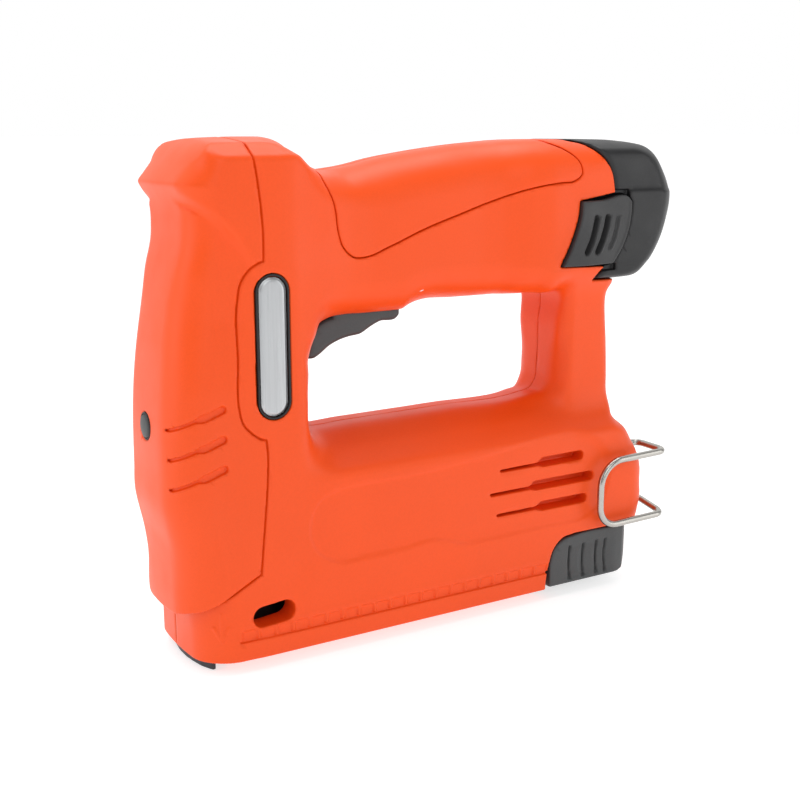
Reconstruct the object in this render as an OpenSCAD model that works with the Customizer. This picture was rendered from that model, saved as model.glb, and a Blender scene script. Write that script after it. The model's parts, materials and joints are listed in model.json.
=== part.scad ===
// Cordless staple gun: two-part moulded body with a front cover, a spring-driven hammer lifted by a
// geared motor, a bottom magazine that slides out to the rear and a battery pack behind the handle.
// Frame: +X from the nose to the battery, +Z up, the sole in the plane z = 0, the mid-plane at y = 0
// and the driver blade on the line x = 0.

/* [Body] */
// Half width of the column, the lower body and the base
body_half = 25; // [24:0.5:27]
// Half width of the handle in the middle of the grip
handle_half = 18; // [17:0.5:20]
// Half width of the rear post
post_half = 15; // [13:0.5:17]
// Thickness of the moulded walls
wall = 2.5; // [2:0.25:3]
// Gap along the seams between moulded parts
seam = 0.3; // [0.2:0.1:0.5]

/* [Battery] */
// Half width of the battery pack
pack_half = 22.5; // [22:0.5:24]
// Diameter of a cell
cell_d = 18; // [17:0.1:18.3]
// Length of a cell
cell_len = 50; // [45:1:52]

/* [Drive] */
// Height of the motor and gear axis above the sole
drive_z = 42; // [41:0.5:43]
// Distance from the driver line to the lift gear's axis
gear_x = 40; // [39:0.5:41]
// Radius at which the lift pin turns
pin_radius = 13; // [12:0.5:13]
// Outer radius of the motor can
motor_r = 15.5; // [14:0.5:16]
// Distance from the driver line to the main spring's axis
spring_x = 12; // [11.5:0.5:12.5]
// Wire diameter of the main spring
spring_wire = 2.4; // [2:0.1:2.6]

/* [Magazine] */
// Width over the legs of a staple
staple_w = 11.1; // [10.6:0.1:11.2]
// Length of the staple strip in the magazine
strip_len = 46; // [10:1:50]
// Length of the magazine channel
channel_len = 130; // [128:1:131]

/* [Belt hook] */
// Wire diameter of the belt hook
hook_wire = 2.6; // [2:0.2:3]

/* [Hidden] */
$fn = 48;

orange = [0.95, 0.38, 0.20];
black = [0.10, 0.10, 0.11];
grey = [0.35, 0.36, 0.36];
steel = [0.66, 0.67, 0.69];
far = 60;              // reach of a cutting body past the part
arc_steps = 5;         // straight steps in a rounded corner
fit = 0.05;            // radial running clearance of a shaft in its bore

// side outline of the column, from the sole up the front, over the head and down the window side
column_side = [[-7.7, 0], [-7.7, 9], [-10.4, 11.5], [-11, 15], [-10.6, 29], [-11.6, 39],
    [-13.4, 46.5], [-14.3, 52], [-14.3, 62], [-13.6, 84], [-12.4, 96], [-10.3, 111], [-7, 128],
    [-5.4, 134], [-4.8, 140], [-5, 146], [-6.2, 150], [-8.2, 154.2], [-4.2, 161], [-1, 165],
    [4, 167.6], [31.3, 168.3], [36.5, 165.1], [41.9, 160.2], [47, 157.9], [52, 157.5], [52, 108],
    [47.9, 108], [42.5, 104], [37, 97], [35.5, 90], [35.5, 76], [38, 72], [46, 70], [46, 0]];
// side outline of the lower body above the sole
lower_side = [[10, 0], [132.6, 0], [132.6, 9], [135.2, 15.9], [138.7, 18.8], [144.6, 19.9],
    [173, 19.9], [178, 21.5], [181, 25.5], [182, 32], [181.4, 40], [179, 47], [174, 53.5],
    [169, 59], [166, 64], [150, 71.8], [100, 71.6], [60, 71], [30, 71]];
// cross-section of the lower body: flat sides, then shoulders that draw in to the narrow top
lower_section = [[-1, 0], [-1, 57], [-0.94, 59.3], [-0.76, 62.2], [-0.56, 66.4], [-0.38, 70.6],
    [-0.2, 72], [0.2, 72], [0.38, 70.6], [0.56, 66.4], [0.76, 62.2], [0.94, 59.3], [1, 57], [1, 0]];
// side outline of the handle with the shelf under the battery
handle_side = [[36, 108], [77.5, 108], [80, 110.2], [84, 112.3], [166, 112.3], [168.4, 113.6],
    [166, 115], [160, 115.2], [160, 147], [158.5, 154], [155, 160], [150, 164.4], [143, 166.6],
    [113, 165.7], [82, 162.4], [70, 160.5], [59.4, 158.2], [52.6, 157.5], [36, 158]];
// plan outline of the handle's right half: slim grip, wider around the battery stem
handle_plan = [[30, 0], [30, handle_half + 1], [52, handle_half + 0.5], [60, handle_half],
    [105, handle_half], [118, handle_half + 1.5], [131, pack_half], [170, pack_half], [170, 0]];
// side outline of the rear post
post_side = [[144, 60], [144, 114], [167, 114], [167.8, 90], [169, 72], [170.5, 60]];
// side outline of the battery cap
pack_side = [[143.8, 166.9], [150.5, 164.7], [155.3, 160.2], [158.8, 154.1], [160.3, 147],
    [160.3, 115.5], [168, 115.3], [176.5, 116.2], [183.8, 120], [190.5, 128], [193.8, 136],
    [194.8, 144], [194, 150], [191, 156.5], [185.5, 162], [178, 165], [169, 166.3], [158, 166.6]];
// side outline of a battery latch
latch_side = [[144.5, 144.6], [141.6, 137], [139.3, 129.5], [136.6, 121.2], [160, 121.2],
    [163.4, 125], [165.6, 130], [167, 137], [167.2, 144.8]];
// side outline of the front cover's region, up to its seam with the body
cover_side = [[-20, 175], [15, 175], [15.3, 163.4], [16.6, 155], [17.7, 146], [18.2, 137],
    [18.2, 131], [16, 130], [13, 127.6], [10.9, 124], [9.9, 119], [9.1, 100], [8.9, 84],
    [9.9, 79.8], [12.5, 76.4], [15.6, 74.2], [18, 73.2], [18, 66], [17.3, 55], [15.8, 40],
    [14.8, 29], [10, 26.2], [5, 23.4], [0, 21.1], [-4, 19.4], [-20, 8]];
// side outline of a grip insert panel
grip_side = [[36.5, 158.4], [39.6, 156], [43, 151], [45, 145.5], [46, 139], [49, 132.4],
    [53.6, 129], [58.3, 129], [67.2, 132], [81.4, 137], [110.6, 146], [126, 150], [139.6, 152],
    [143, 152.6], [146, 156.5], [143.5, 160.5], [138, 164], [130, 168], [112, 168], [82, 166],
    [60, 162], [45, 160.4]];
// screws that join the body halves: x, z and the depth of the head's seat below the outer wall
screws = [[27, 157, 19], [28.6, 96, 19], [64, 64.6, 12], [118, 119.5, 13], [156, 97, 9],
    [164, 27.5, 19]];
screw_r = 1.5;
screw_head_r = 2.9;
boss_r = 3.5;
screw_tip = -9;
// badge: a stadium on each side of the column
badge_x = 20.8;
badge_z = 103.2;
badge_r = 5;
badge_half = 17.5;
// slots of the motor vents: x of the narrow end, the step and the wide end, z
motor_vents = [[110, 125, 147, 49.5], [105.5, 122, 152, 41], [108.5, 126, 149.5, 32.6]];
// shallow grooves of the front cover: heights of their rear ends, depth and fall per length
cover_grooves = [85, 75.4, 65.8];
groove_depth = 1;
groove_fall = 0.34;
// front button: height of its axis, radius, front face and the radius of the hole in the cover
button_z = 77;
button_r = 3.9;
button_face = -14.6;
button_hole_r = 4.6;
// contact nose: plan of its tip, depth of the tip below the sole, front of its plate, plate thickness
nose_plan = [[0.6, -17.4], [0.6, 17.4], [-0.6, 17.4], [-1.6, 15.4], [-2.8, 12.4], [-3.8, 7.4],
    [-4.4, 2.4], [-4.4, -2.4], [-3.8, -7.4], [-2.8, -12.4], [-1.6, -15.4], [-0.6, -17.4]];
nose_depth = 4;
nose_x = -3.9;
nose_t = 1.4;
// grooves of the magazine handle
handle_grooves = [142, 148.6, 155, 159.3];
// front end of the battery stem
stem_x = 133;
// heights in the drive column
plate_z0 = 22;
plate_t = 1.6;
plate_y = 14.5;
bumper_z = 25;
hammer_z = 31;
hammer_h = 29;
seat_z = 132;
rod_r = 3;
spring_r = 7.6;
// radii and widths of the drive train
shaft_r = 3;
gear_r = 16;
gear_y = 4.7;
gear_w = 4;
pinion_r = 4.4;
pinion_x = [51.5, 56];
case_x = [60, 94];
case_r = 17;
can_x = [96, 144];
rotor_shaft_r = 1.6;
sun_r = 4;
planet_r = 5.2;
planet_orbit = 9.4;
stage_x = [84, 71];
stage_w = 6;
// inner walls of the pack behind the latches: distance from the mid-plane, half thickness, heights
pack_wall = [16.5, 0.4, 119, 144.4];
// sockets of the belt hook's two wire ends
hook_y = -13;
hook_z = [25.6, 48];
// ways in the sole: x from and to, half width; the second one lets the drawer out to the rear
sole_slot = [5, 134, 10.2];
drawer_way = [128, 140, 7.6];
// windows on the staples: centre in x and z, end radius and half the straight length
window_at = [19, 14.4];
window_r = 3.8;
window_straight = 3.6;
// magazine heights
channel_z = 3.4;
channel_top = 18.6;
channel_t = 1;
channel_half = 7;
core_half = 4.4;
core_z = [5.6, 15.4];
pusher_x = 3 + strip_len + 0.4;
spring_start = pusher_x + 7;
spring_end = 127;
// trigger, and its slot from the front of the hand opening to the step behind the finger piece
trigger_slot = [36, 79.5];
trigger_half = 8;
trigger_pivot = [81, 117.8];
trigger_pin_r = 2;
trigger_hub_r = 3.4;
spring_rib = [41, 50.5, 120, 122];
// circuit board: plane of its back face and its two posts
board_y = -9.6;
board_posts = [74, 104];

function arc(c, r, a0, a1, n) = [for (i = [0:n]) c + r * [cos(a0 + (a1 - a0) * i / n),
    sin(a0 + (a1 - a0) * i / n)]];
function rounded(x0, x1, h, r0, r1) = concat(
    arc([x0 + r0, r0 - h], r0, 180, 270, arc_steps), arc([x1 - r1, r1 - h], r1, 270, 360, arc_steps),
    arc([x1 - r1, h - r1], r1, 0, 90, arc_steps), arc([x0 + r0, h - r0], r0, 90, 180, arc_steps));
function column_plan(h, r, x0) = concat([[52, 18.6]], [[28, h]],
    arc([x0 + r, h - r], r, 90, 180, arc_steps), arc([x0 + r, r - h], r, 180, 270, arc_steps),
    [[28, -h], [52, -18.6]]);
function stadium(r, half, n) = concat(arc([0, half], r, 0, 180, n), arc([0, -half], r, 180, 360, n));
function flip(points) = [for (i = [len(points) - 1:-1:0]) [points[i][0], -points[i][1]]];
function unit(v) = v / norm(v);
function tangent(p, i) = unit(p[min(i + 1, len(p) - 1)] - p[max(i - 1, 0)]);
function normals(p, i, prev) = i == len(p) ? []
    : let (t = tangent(p, i), n = unit(prev - (prev * t) * t)) concat([n], normals(p, i + 1, n));
function helix(c, axis, r, length, turns, per_turn) = [for (i = [0:turns * per_turn])
    let (a = 360 * i / per_turn, s = length * i / (turns * per_turn))
    axis == 0 ? c + [s, r * cos(a), r * sin(a)] : axis == 1 ? c + [r * cos(a), s, r * sin(a)]
    : c + [r * cos(a), r * sin(a), s]];
function bend(c, u, v, r, n) = [for (i = [0:n]) c + r * (u * cos(90 * i / n) + v * sin(90 * i / n))];

// a round wire along a list of points
module wire(p, r, sides, up = [0, 0, 1]) {
    n = normals(p, 0, up);
    ring = [for (i = [0:len(p) - 1], k = [0:sides - 1]) let (a = 360 * k / sides)
        p[i] + r * (cos(a) * n[i] + sin(a) * cross(tangent(p, i), n[i]))];
    quads = [for (i = [0:len(p) - 2], k = [0:sides - 1]) let (j = (k + 1) % sides)
        [i * sides + k, (i + 1) * sides + k, (i + 1) * sides + j, i * sides + j]];
    side_faces = [for (q = quads, half = [0, 1]) half == 0 ? [q[0], q[1], q[2]] : [q[0], q[2], q[3]]];
    first = [for (k = [0:sides - 1]) k];
    last = [for (k = [sides - 1:-1:0]) (len(p) - 1) * sides + k];
    polyhedron(ring, concat(side_faces, [first, last]));
}

// an outline in x and z, carried along y
module along_y(y0, y1) {
    translate([0, y1, 0]) rotate([90, 0, 0]) linear_extrude(y1 - y0) children();
}

// an outline in y and z, carried along x
module along_x(x0, x1) {
    translate([x0, 0, 0]) rotate([90, 0, 90]) linear_extrude(x1 - x0) children();
}

module rod_x(x0, x1, r) { translate([x0, 0, 0]) rotate([0, 90, 0]) cylinder(h = x1 - x0, r = r); }
module rod_y(y0, y1, r) { translate([0, y0, 0]) rotate([-90, 0, 0]) cylinder(h = y1 - y0, r = r); }
module rod_z(z0, z1, r) { translate([0, 0, z0]) cylinder(h = z1 - z0, r = r); }
module box(x0, x1, y0, y1, z0, z1) { translate([x0, y0, z0]) cube([x1 - x0, y1 - y0, z1 - z0]); }

// a spur wheel along x with straight-sided teeth
module spur_x(x0, x1, tip_r, teeth) {
    root_r = tip_r - 1;
    along_x(x0, x1) polygon([for (i = [0:teeth - 1], k = [0:3]) let (a = 360 * (i + k / 4) / teeth)
        (k < 2 ? tip_r : root_r) * [cos(a), sin(a)]]);
}

module column_mass(inset) {
    intersection() {
        along_y(inset - body_half, body_half - inset) offset(delta = -inset) polygon(column_side);
        translate([0, 0, -1]) linear_extrude(200) offset(delta = -inset)
            polygon(column_plan(body_half, 13, -14.3));
    }
}

module lower_mass(inset) {
    intersection() {
        along_y(inset - body_half, body_half - inset) offset(delta = -inset) polygon(lower_side);
        along_x(0, 200) offset(delta = -inset)
            polygon([for (p = lower_section) [p[0] * body_half, p[1]]]);
        translate([0, 0, -1]) linear_extrude(200) offset(delta = -inset)
            polygon(rounded(8, 182, body_half, 3, 9));
    }
}

module handle_mass(inset) {
    intersection() {
        along_y(-far, far) offset(delta = -inset) polygon(handle_side);
        translate([0, 0, 90]) linear_extrude(90) offset(delta = -inset)
            polygon(concat(handle_plan, flip(handle_plan)));
        along_x(20, 180) offset(delta = -inset)
            translate([0, 138]) rotate(90) polygon(rounded(-31, 30.5, pack_half, 14, 14));
    }
}

module post_mass(inset) {
    intersection() {
        along_y(inset - post_half, post_half - inset) offset(delta = -inset) polygon(post_side);
        translate([0, 0, 50]) linear_extrude(80) offset(delta = -inset)
            polygon(rounded(143.9, 172, post_half, 4, 6));
    }
}

module body_mass(inset) {
    column_mass(inset);
    lower_mass(inset);
    handle_mass(inset);
    post_mass(inset);
}

// free ways between the hollow column, lower body, post and handle
module joined_hollow() {
    body_mass(wall);
    box(20, 60, wall - handle_half, handle_half - wall, 112, 152);
    box(28, 50, wall - body_half, body_half - wall, 22, 54);
    box(28, 50, -10, 10, 54, 66);
    box(147, 165, wall - post_half + 1, post_half - wall - 1, 55, 118);
}

module vent_cuts() {
    for (v = motor_vents, side = [-1, 1]) {
        box(v[0], v[1], side * body_half - 4, side * body_half + 4, v[3], v[3] + 1);
        box(v[1], v[2], side * body_half - 4, side * body_half + 4, v[3], v[3] + 3);
    }
}

module shell() {
    difference() {
        body_mass(0);
        joined_hollow();
        along_y(-far, far) polygon(cover_side);
        // way in for the battery stem, and the room of the latches
        along_x(146, 170) polygon(stem_section(0.4));
        for (side = [-1, 1]) along_y(side * pack_half - 4, side * pack_half + 4)
            offset(delta = 0.5) polygon(latch_side);
        pack_walls(150, 170, 0.4);
        // holes for the ends of the belt hook
        for (z = hook_z) translate([0, hook_y, z]) rod_x(172, 190, hook_wire / 2 + 0.2);
        // trigger slot in the handle's underside
        box(trigger_slot[0], trigger_slot[1], -trigger_half - 0.5, trigger_half + 0.5, 90, 120);
        // slot of the magazine rail and hole of the contact nose in the sole
        box(sole_slot[0], sole_slot[1], -sole_slot[2], sole_slot[2], -1, channel_z);
        translate([0, 0, -1]) linear_extrude(5) offset(delta = 0.5) polygon(nose_plan);
        box(0, 5.2, -14, 14, -1, 3);
        box(drawer_way[0], drawer_way[1], -drawer_way[2], drawer_way[2], -1, channel_top + 0.3);
        // windows on the staples, one each side
        for (side = [-1, 1]) translate([window_at[0], side * body_half, window_at[1]]) rotate([0, 90, 0])
            along_y(-5, 5) polygon(stadium(window_r, window_straight, 8));
        vent_cuts();
        // shallow seats of the grip inserts and the badges
        grip_seat(0);
        badge_seat();
    }
}

function stem_side(g) = [[19.6 + g, 155.5 + g / 3], [19.6 + g, 139.4 - g], [11.5 + g, 139.4 - g],
    [11.5 + g, 118.5 - g]];
function stem_section(g) = concat([[-14.5 - g / 3, 161.5 + g], [14.5 + g / 3, 161.5 + g]], stem_side(g),
    [for (i = [3:-1:0]) [-stem_side(g)[i][0], stem_side(g)[i][1]]]);

module pack_walls(x0, x1, g) {
    for (side = [-1, 1]) box(x0, x1, side * pack_wall[0] - pack_wall[1] - g,
        side * pack_wall[0] + pack_wall[1] + g, pack_wall[2] - g, pack_wall[3] + g);
}

module grip_seat(shrink) {
    depth = 1.4;
    intersection() {
        difference() {
            handle_mass(0);
            handle_mass(depth - shrink);
        }
        along_y(-far, far) offset(delta = -shrink) polygon(grip_side);
        box(52.4 + shrink, 200, -far, far, 100, 200);
    }
}

module badge_seat() {
    for (side = [-1, 1]) translate([badge_x, side * body_half, badge_z])
        along_y(-1.4, 1.4) polygon(stadium(badge_r + 1.1, badge_half, 8));
}

// bosses for the screws and the trigger pin, and the rib over the trigger spring
module inner_ribs(y0, y1) {
    side = y0 < 0 ? -1 : 1;
    for (s = screws) translate([s[0], 0, s[1]]) rod_y(y0, y1, boss_r);
    translate([trigger_pivot[0], 0, trigger_pivot[1]])
        rod_y(side < 0 ? y0 : trigger_half + 0.6, side < 0 ? -trigger_half - 0.6 : y1, 4);
    box(spring_rib[0], spring_rib[1], y0, y1, spring_rib[2], spring_rib[3]);
}

module trigger_pin_hole() {
    translate([trigger_pivot[0], 0, trigger_pivot[1]]) rod_y(-15.4, 15.4, trigger_pin_r + fit);
}

module housing_right() {
    color(orange) difference() {
        union() {
            intersection() {
                shell();
                box(-far, 250, -far, -seam / 2, -1, 200);
            }
            intersection() {
                union() {
                    inner_ribs(-far, -seam / 2);
                    for (x = board_posts) translate([x, 0, 146]) rod_y(-far, board_y, 3);
                }
                body_mass(wall - 0.5);
                box(18.5, 250, -far, 0, -1, 200);
            }
        }
        for (s = screws) translate([s[0], 0, s[1]]) rod_y(screw_tip, 1, screw_r);
        trigger_pin_hole();
    }
}

module housing_left() {
    color(orange) difference() {
        union() {
            intersection() {
                shell();
                box(-far, 250, seam / 2, far, -1, 200);
            }
            intersection() {
                inner_ribs(seam / 2, far);
                body_mass(wall - 0.5);
                box(18.5, 250, 0, far, -1, 200);
            }
        }
        for (s = screws) translate([s[0], 0, s[1]]) {
            rod_y(-1, far, screw_r + 0.2);
            rod_y(s[2] - 2.4, far, screw_head_r + 0.3);
        }
        trigger_pin_hole();
    }
}

module housing_screws() {
    color(steel) for (s = screws) translate([s[0], 0, s[1]]) difference() {
        union() {
            rod_y(screw_tip + 0.5, s[2] - 2, screw_r - 0.05);
            rod_y(s[2] - 2.2, s[2], screw_head_r);
        }
        rod_y(s[2] - 1.2, s[2] + 1, 1.1);
    }
}

// a groove that falls towards the nose, wide at its rear and narrow in front
function groove(x, z) = [for (p = [[-17.4, -0.5], [-9.4, -0.5], [-8.4, -1.3], [0, -1.3], [0, 1.3],
    [-8.4, 1.3], [-9.4, 0.5], [-17.4, 0.5]]) [x + p[0], z + p[1] + groove_fall * p[0]]];

module front_cover() {
    color(orange) difference() {
        intersection() {
            union() {
                difference() {
                    column_mass(0);
                    column_mass(wall);
                    box(0, far, -20, 20, 18, 164);
                }
                // ribs that carry the switch behind the front button
                for (side = [-1, 1]) box(-12, -5, side * 5.2 - 0.6, side * 5.2 + 0.6, 70, 84);
            }
            along_y(-far, far) offset(delta = -seam) polygon(cover_side);
        }
        translate([0, 0, button_z]) rod_x(-20, -8, button_hole_r);
        difference() {
            for (z = cover_grooves, side = [-1, 1])
                along_y(side < 0 ? -far : 14, side < 0 ? -14 : far) polygon(groove(4.3, z));
            column_mass(groove_depth);
        }
    }
}

module grip_insert_right() {
    color(orange) intersection() {
        grip_seat(0.2);
        box(-far, 250, -far, -0.2, -1, 200);
    }
}

module grip_insert_left() {
    color(orange) intersection() {
        grip_seat(0.2);
        box(-far, 250, 0.2, far, -1, 200);
    }
}

module badge_frames() {
    color(black) for (side = [-1, 1]) translate([badge_x, side * (body_half - 0.5), badge_z])
        difference() {
            along_y(-0.9, 0.4) polygon(stadium(badge_r + 1, badge_half, 8));
            along_y(-2, 2) polygon(stadium(badge_r, badge_half, 8));
        }
}

module badge_plates() {
    color("silver") for (side = [-1, 1]) translate([badge_x, side * (body_half - 0.8), badge_z])
        along_y(-0.5, 0.5) polygon(stadium(badge_r - 0.1, badge_half, 8));
}

// wire from the upper socket in the rear wall, round the loop beside the body, to the lower socket
module belt_hook() {
    r = 3.5;
    y0 = -29.2;
    x0 = 153;
    x1 = 185;
    end_x = 176;
    top = hook_z[1];
    low = hook_z[0];
    drop = 3;
    path = concat(
        [[end_x, hook_y, top], [end_x + 4, hook_y, top]],
        bend([x1 - r, hook_y - r, top], [0, 1, 0], [1, 0, 0], r, 4),
        bend([x1 - r, y0 + r, top], [1, 0, 0], [0, -1, 0], r, 4),
        bend([x0 + 9, y0, top - 9], [0, 0, 1], [-1, 0, 0], 9, 5),
        bend([x0 + 7, y0, low - drop + 7], [-1, 0, 0], [0, 0, -1], 7, 5),
        bend([x1 - r, y0 + r, low - drop], [0, -1, 0], [1, 0, 0], r, 4),
        bend([x1 - r, hook_y - r, low], [1, 0, 0], [0, 1, 0], r, 4),
        [[end_x + 4, hook_y, low], [end_x, hook_y, low]]);
    color("silver") wire(path, hook_wire / 2, 10, [0, 0, 1]);
}

module front_button() {
    flange_x = -9.6;
    color(grey) translate([0, 0, button_z]) union() {
        rod_x(button_face, flange_x, button_r);
        rod_x(flange_x, flange_x + 1, button_r + 0.6);
    }
}

module button_bezel() {
    color(black) translate([0, 0, button_z]) difference() {
        rod_x(-13.8, -10.2, button_hole_r - 0.05);
        rod_x(-16, -9, button_r + 0.1);
    }
}

module button_switch() {
    color(black) union() {
        box(-5.8, -2.2, -4.2, 4.2, 72, 82);
        translate([0, 0, button_z]) rod_x(-7.2, -5.8, 1.8);
    }
}

module mechanism_frame() {
    color(steel) difference() {
        union() {
            box(3, 58, -plate_y - plate_t, plate_y + plate_t, plate_z0, bumper_z);
            for (side = [-1, 1]) box(24, 56, side * plate_y - (side < 0 ? plate_t : 0),
                side * plate_y + (side < 0 ? 0 : plate_t), plate_z0, 60);
        }
        box(26, 59, -10, 14, plate_z0 - 1, bumper_z + 1);
        translate([gear_x, 0, drive_z]) rod_y(-20, 20, 5);
        translate([spring_x, 0, 0]) rod_z(plate_z0 - 1, bumper_z + 1, rod_r);
    }
}

module nose_front_plate() {
    color(steel) union() {
        box(-2.2, -0.75, -11, 11, 6, 37.5);
        box(-7.6, -2.2, -12, 12, 36, 37.5);
    }
}

module nose_rear_plate() {
    color(steel) box(0.75, 2.4, -9, 9, channel_top + 0.1, 30);
}

module contact_nose() {
    flange_z = 21;
    color(black) difference() {
        union() {
            translate([0, 0, -nose_depth]) linear_extrude(nose_depth - 0.6) polygon(nose_plan);
            box(nose_x, nose_x + nose_t, -7, 7, -0.6, flange_z);
            box(-7, nose_x + nose_t, -12, 12, flange_z - nose_t, flange_z);
        }
        // slot that the staple leaves through
        box(-1.6, 1.6, -6.6, 6.6, -nose_depth - 1, 0);
    }
}

module contact_springs() {
    color(steel) for (side = [-1, 1])
        wire(helix([-4.9, side * 8.5, 21.3], 2, 1.7, 14.4, 7, 10), 0.3, 6, [0, 0, 1]);
}

module driver_blade() {
    color(steel) union() {
        box(-0.6, 0.6, -5.3, 5.3, 0.5, 56);
        box(-0.6, 0.6, -7.5, 7.5, 40, 56);
    }
}

module hammer() {
    color(grey) difference() {
        union() {
            box(0.6, 22, -8, 8, hammer_z, hammer_z + hammer_h);
            // ear beside the lift pin's circle
            box(8, 24, 9.2, 13, hammer_z + 2.4, hammer_z + 6.4);
            box(8, 21, 8, 9.2, hammer_z + 2.4, hammer_z + 6.4);
        }
        translate([spring_x, 0, 0]) rod_z(20, 80, rod_r + fit);
    }
}

module guide_rod() {
    color(steel) translate([spring_x, 0, 0]) rod_z(plate_z0, seat_z + 3, rod_r);
}

module main_spring() {
    length = seat_z - hammer_z - hammer_h - spring_wire;
    color(steel) wire(helix([spring_x, 0, hammer_z + hammer_h + spring_wire / 2], 2, spring_r, length,
        10, 16), spring_wire / 2, 8, [0, 0, 1]);
}

module spring_seat() {
    color(grey) difference() {
        box(1, 24, -16, 16, seat_z, seat_z + 5);
        translate([spring_x, 0, 0]) rod_z(seat_z - 1, seat_z + 3, rod_r);
    }
}

module bumper() {
    color(black) difference() {
        box(4, 22, -8, 8, bumper_z, hammer_z);
        translate([spring_x, 0, 0]) rod_z(20, 40, rod_r + 0.3);
    }
}

module lift_gear() {
    teeth = 36;
    color(steel) translate([gear_x, 0, drive_z]) difference() {
        union() {
            rod_y(gear_y + 1, gear_y + gear_w, gear_r);
            rod_y(gear_y, gear_y + 1, 7);
            // face teeth towards the pinion
            for (i = [0:teeth - 1]) rotate([0, 360 * i / teeth, 0])
                box(11.6, gear_r - 0.2, gear_y, gear_y + 1.2, -0.4, 0.4);
            rotate([0, 60, 0]) translate([pin_radius, 0, 0])
                rod_y(gear_y + gear_w - 0.1, 13, 2.4);
            rod_y(-12, gear_y + gear_w, 5);
        }
        rod_y(-20, 20, shaft_r + fit);
    }
}

module gear_shaft() {
    color(steel) translate([gear_x, 0, drive_z]) rod_y(-18, 18, shaft_r);
}

module gear_bushes() {
    color("goldenrod") for (side = [-1, 1]) translate([gear_x, side * (plate_y + 0.8), drive_z])
        difference() {
            rod_y(-1.4, 1.4, 5);
            rod_y(-2, 2, shaft_r);
        }
}

// a carrier disc with three pins; its own pinion or sun wheel points towards the nose
module carrier(x, nose_x, nose_r, teeth) {
    translate([0, 0, drive_z]) union() {
        rod_x(x - 4, x - 1, 12.5);
        spur_x(nose_x, nose_x + stage_w, nose_r, teeth);
        rod_x(nose_x, x - 4, nose_r - 1.4);
        for (i = [0:2]) rotate([120 * i, 0, 0]) translate([0, 0, planet_orbit])
            rod_x(x - 1, x + stage_w - 0.4, 1.5);
    }
}

module output_carrier() {
    color(steel) union() {
        carrier(stage_x[1], pinion_x[0], pinion_r, 8);
        translate([0, 0, drive_z]) rod_x(pinion_x[1], 67, 3);
    }
}

module first_carrier() {
    color(steel) carrier(stage_x[0], stage_x[1] - 0.3, sun_r, 12);
}

module planets(x) {
    translate([0, 0, drive_z]) for (i = [0:2]) rotate([120 * i, 0, 0])
        translate([0, 0, planet_orbit]) difference() {
            spur_x(x - 0.8, x + stage_w - 1, planet_r, 18);
            rod_x(x - 2, x + stage_w, 1.5);
        }
}

module output_planets() { color("goldenrod") planets(stage_x[1]); }
module first_planets() { color("goldenrod") planets(stage_x[0]); }

module gearbox_case() {
    color(grey) translate([0, 0, drive_z]) difference() {
        rod_x(case_x[0], case_x[1], case_r);
        rod_x(case_x[0] + 3, case_x[1] + 1, 15);
        rod_x(case_x[0] - 1, case_x[0] + 4, 3 + fit);
    }
}

module motor_can() {
    color(steel) translate([0, 0, drive_z]) difference() {
        union() {
            rod_x(can_x[0], can_x[1], motor_r);
            rod_x(can_x[0] - 2, can_x[0], 5);
        }
        rod_x(can_x[0] + 1.5, can_x[1] + 1, motor_r - 1.5);
        rod_x(can_x[0] - 3, can_x[0] + 2, rotor_shaft_r + fit);
    }
}

module motor_magnets() {
    color(black) translate([0, 0, drive_z]) difference() {
        rod_x(102, 136, motor_r - 1.5);
        rod_x(101, 137, motor_r - 4);
        for (side = [-1, 1]) box(101, 137, side * 14 - 8, side * 14 + 8, -20, 20);
    }
}

module motor_end_cap() {
    color(black) translate([0, 0, drive_z]) difference() {
        union() {
            rod_x(can_x[1], can_x[1] + 4, motor_r);
            rod_x(can_x[1] - 3, can_x[1], motor_r - 1.5);
        }
        rod_x(can_x[1] - 4, can_x[1] + 1, motor_r - 4);
        rod_x(can_x[1] - 4, can_x[1] + 5, rotor_shaft_r + fit);
    }
}

module rotor() {
    slots = 5;
    color("peru") translate([0, 0, drive_z]) union() {
        difference() {
            rod_x(103, 135, motor_r - 4.5);
            for (i = [0:slots - 1]) rotate([360 * i / slots, 0, 0]) box(102, 136, -1, 1, 6, 12);
        }
        rod_x(135, 142, 4);
        rod_x(stage_x[0] + 6, 154, rotor_shaft_r);
        spur_x(stage_x[0] - 0.3, stage_x[0] + 6, sun_r, 12);
    }
}

module motor_fan() {
    blades = 8;
    color(black) translate([0, 0, drive_z]) difference() {
        union() {
            rod_x(149.5, 151, 13);
            rod_x(151, 155, 4);
            for (i = [0:blades - 1]) rotate([360 * i / blades, 0, 0])
                box(150.5, 155, -0.6, 0.6, 3.5, 13);
        }
        rod_x(149, 154, rotor_shaft_r);
    }
}

module circuit_board() {
    color("darkgreen") box(69, 110, board_y, board_y + 1.6, 124, 150);
}

module board_parts() {
    color(black) union() {
        box(71, 80, -8, -4, 128, 136);
        box(82, 86, -8, -5.6, 127, 132);
        box(88, 94, -8, -5, 128, 138);
        translate([102, 0, 134]) rod_y(-8, 6, 4);
        for (i = [0:3]) box(79 + 3 * i, 80.6 + 3 * i, -8, -6.8, 142, 144.4);
    }
}

module terminal_block() {
    color(black) difference() {
        box(115, 123, -13, 13, 125, 156);
        for (y = [-7, 0, 7]) box(114, 124, y - 0.5, y + 0.5, 140, 150);
    }
}

module terminal_blades() {
    color("goldenrod") for (y = [-7, 0, 7]) box(113, 136.4, y - 0.4, y + 0.4, 143, 148);
}

module switch_body() {
    color(black) difference() {
        box(50, 68, -7, 7, 124, 137);
        translate([58, 0, 0]) rod_z(123, 131, 2.4 + fit);
    }
}

module switch_plunger() {
    color("white") translate([58, 0, 0]) rod_z(121.2, 128, 2.4);
}

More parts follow.
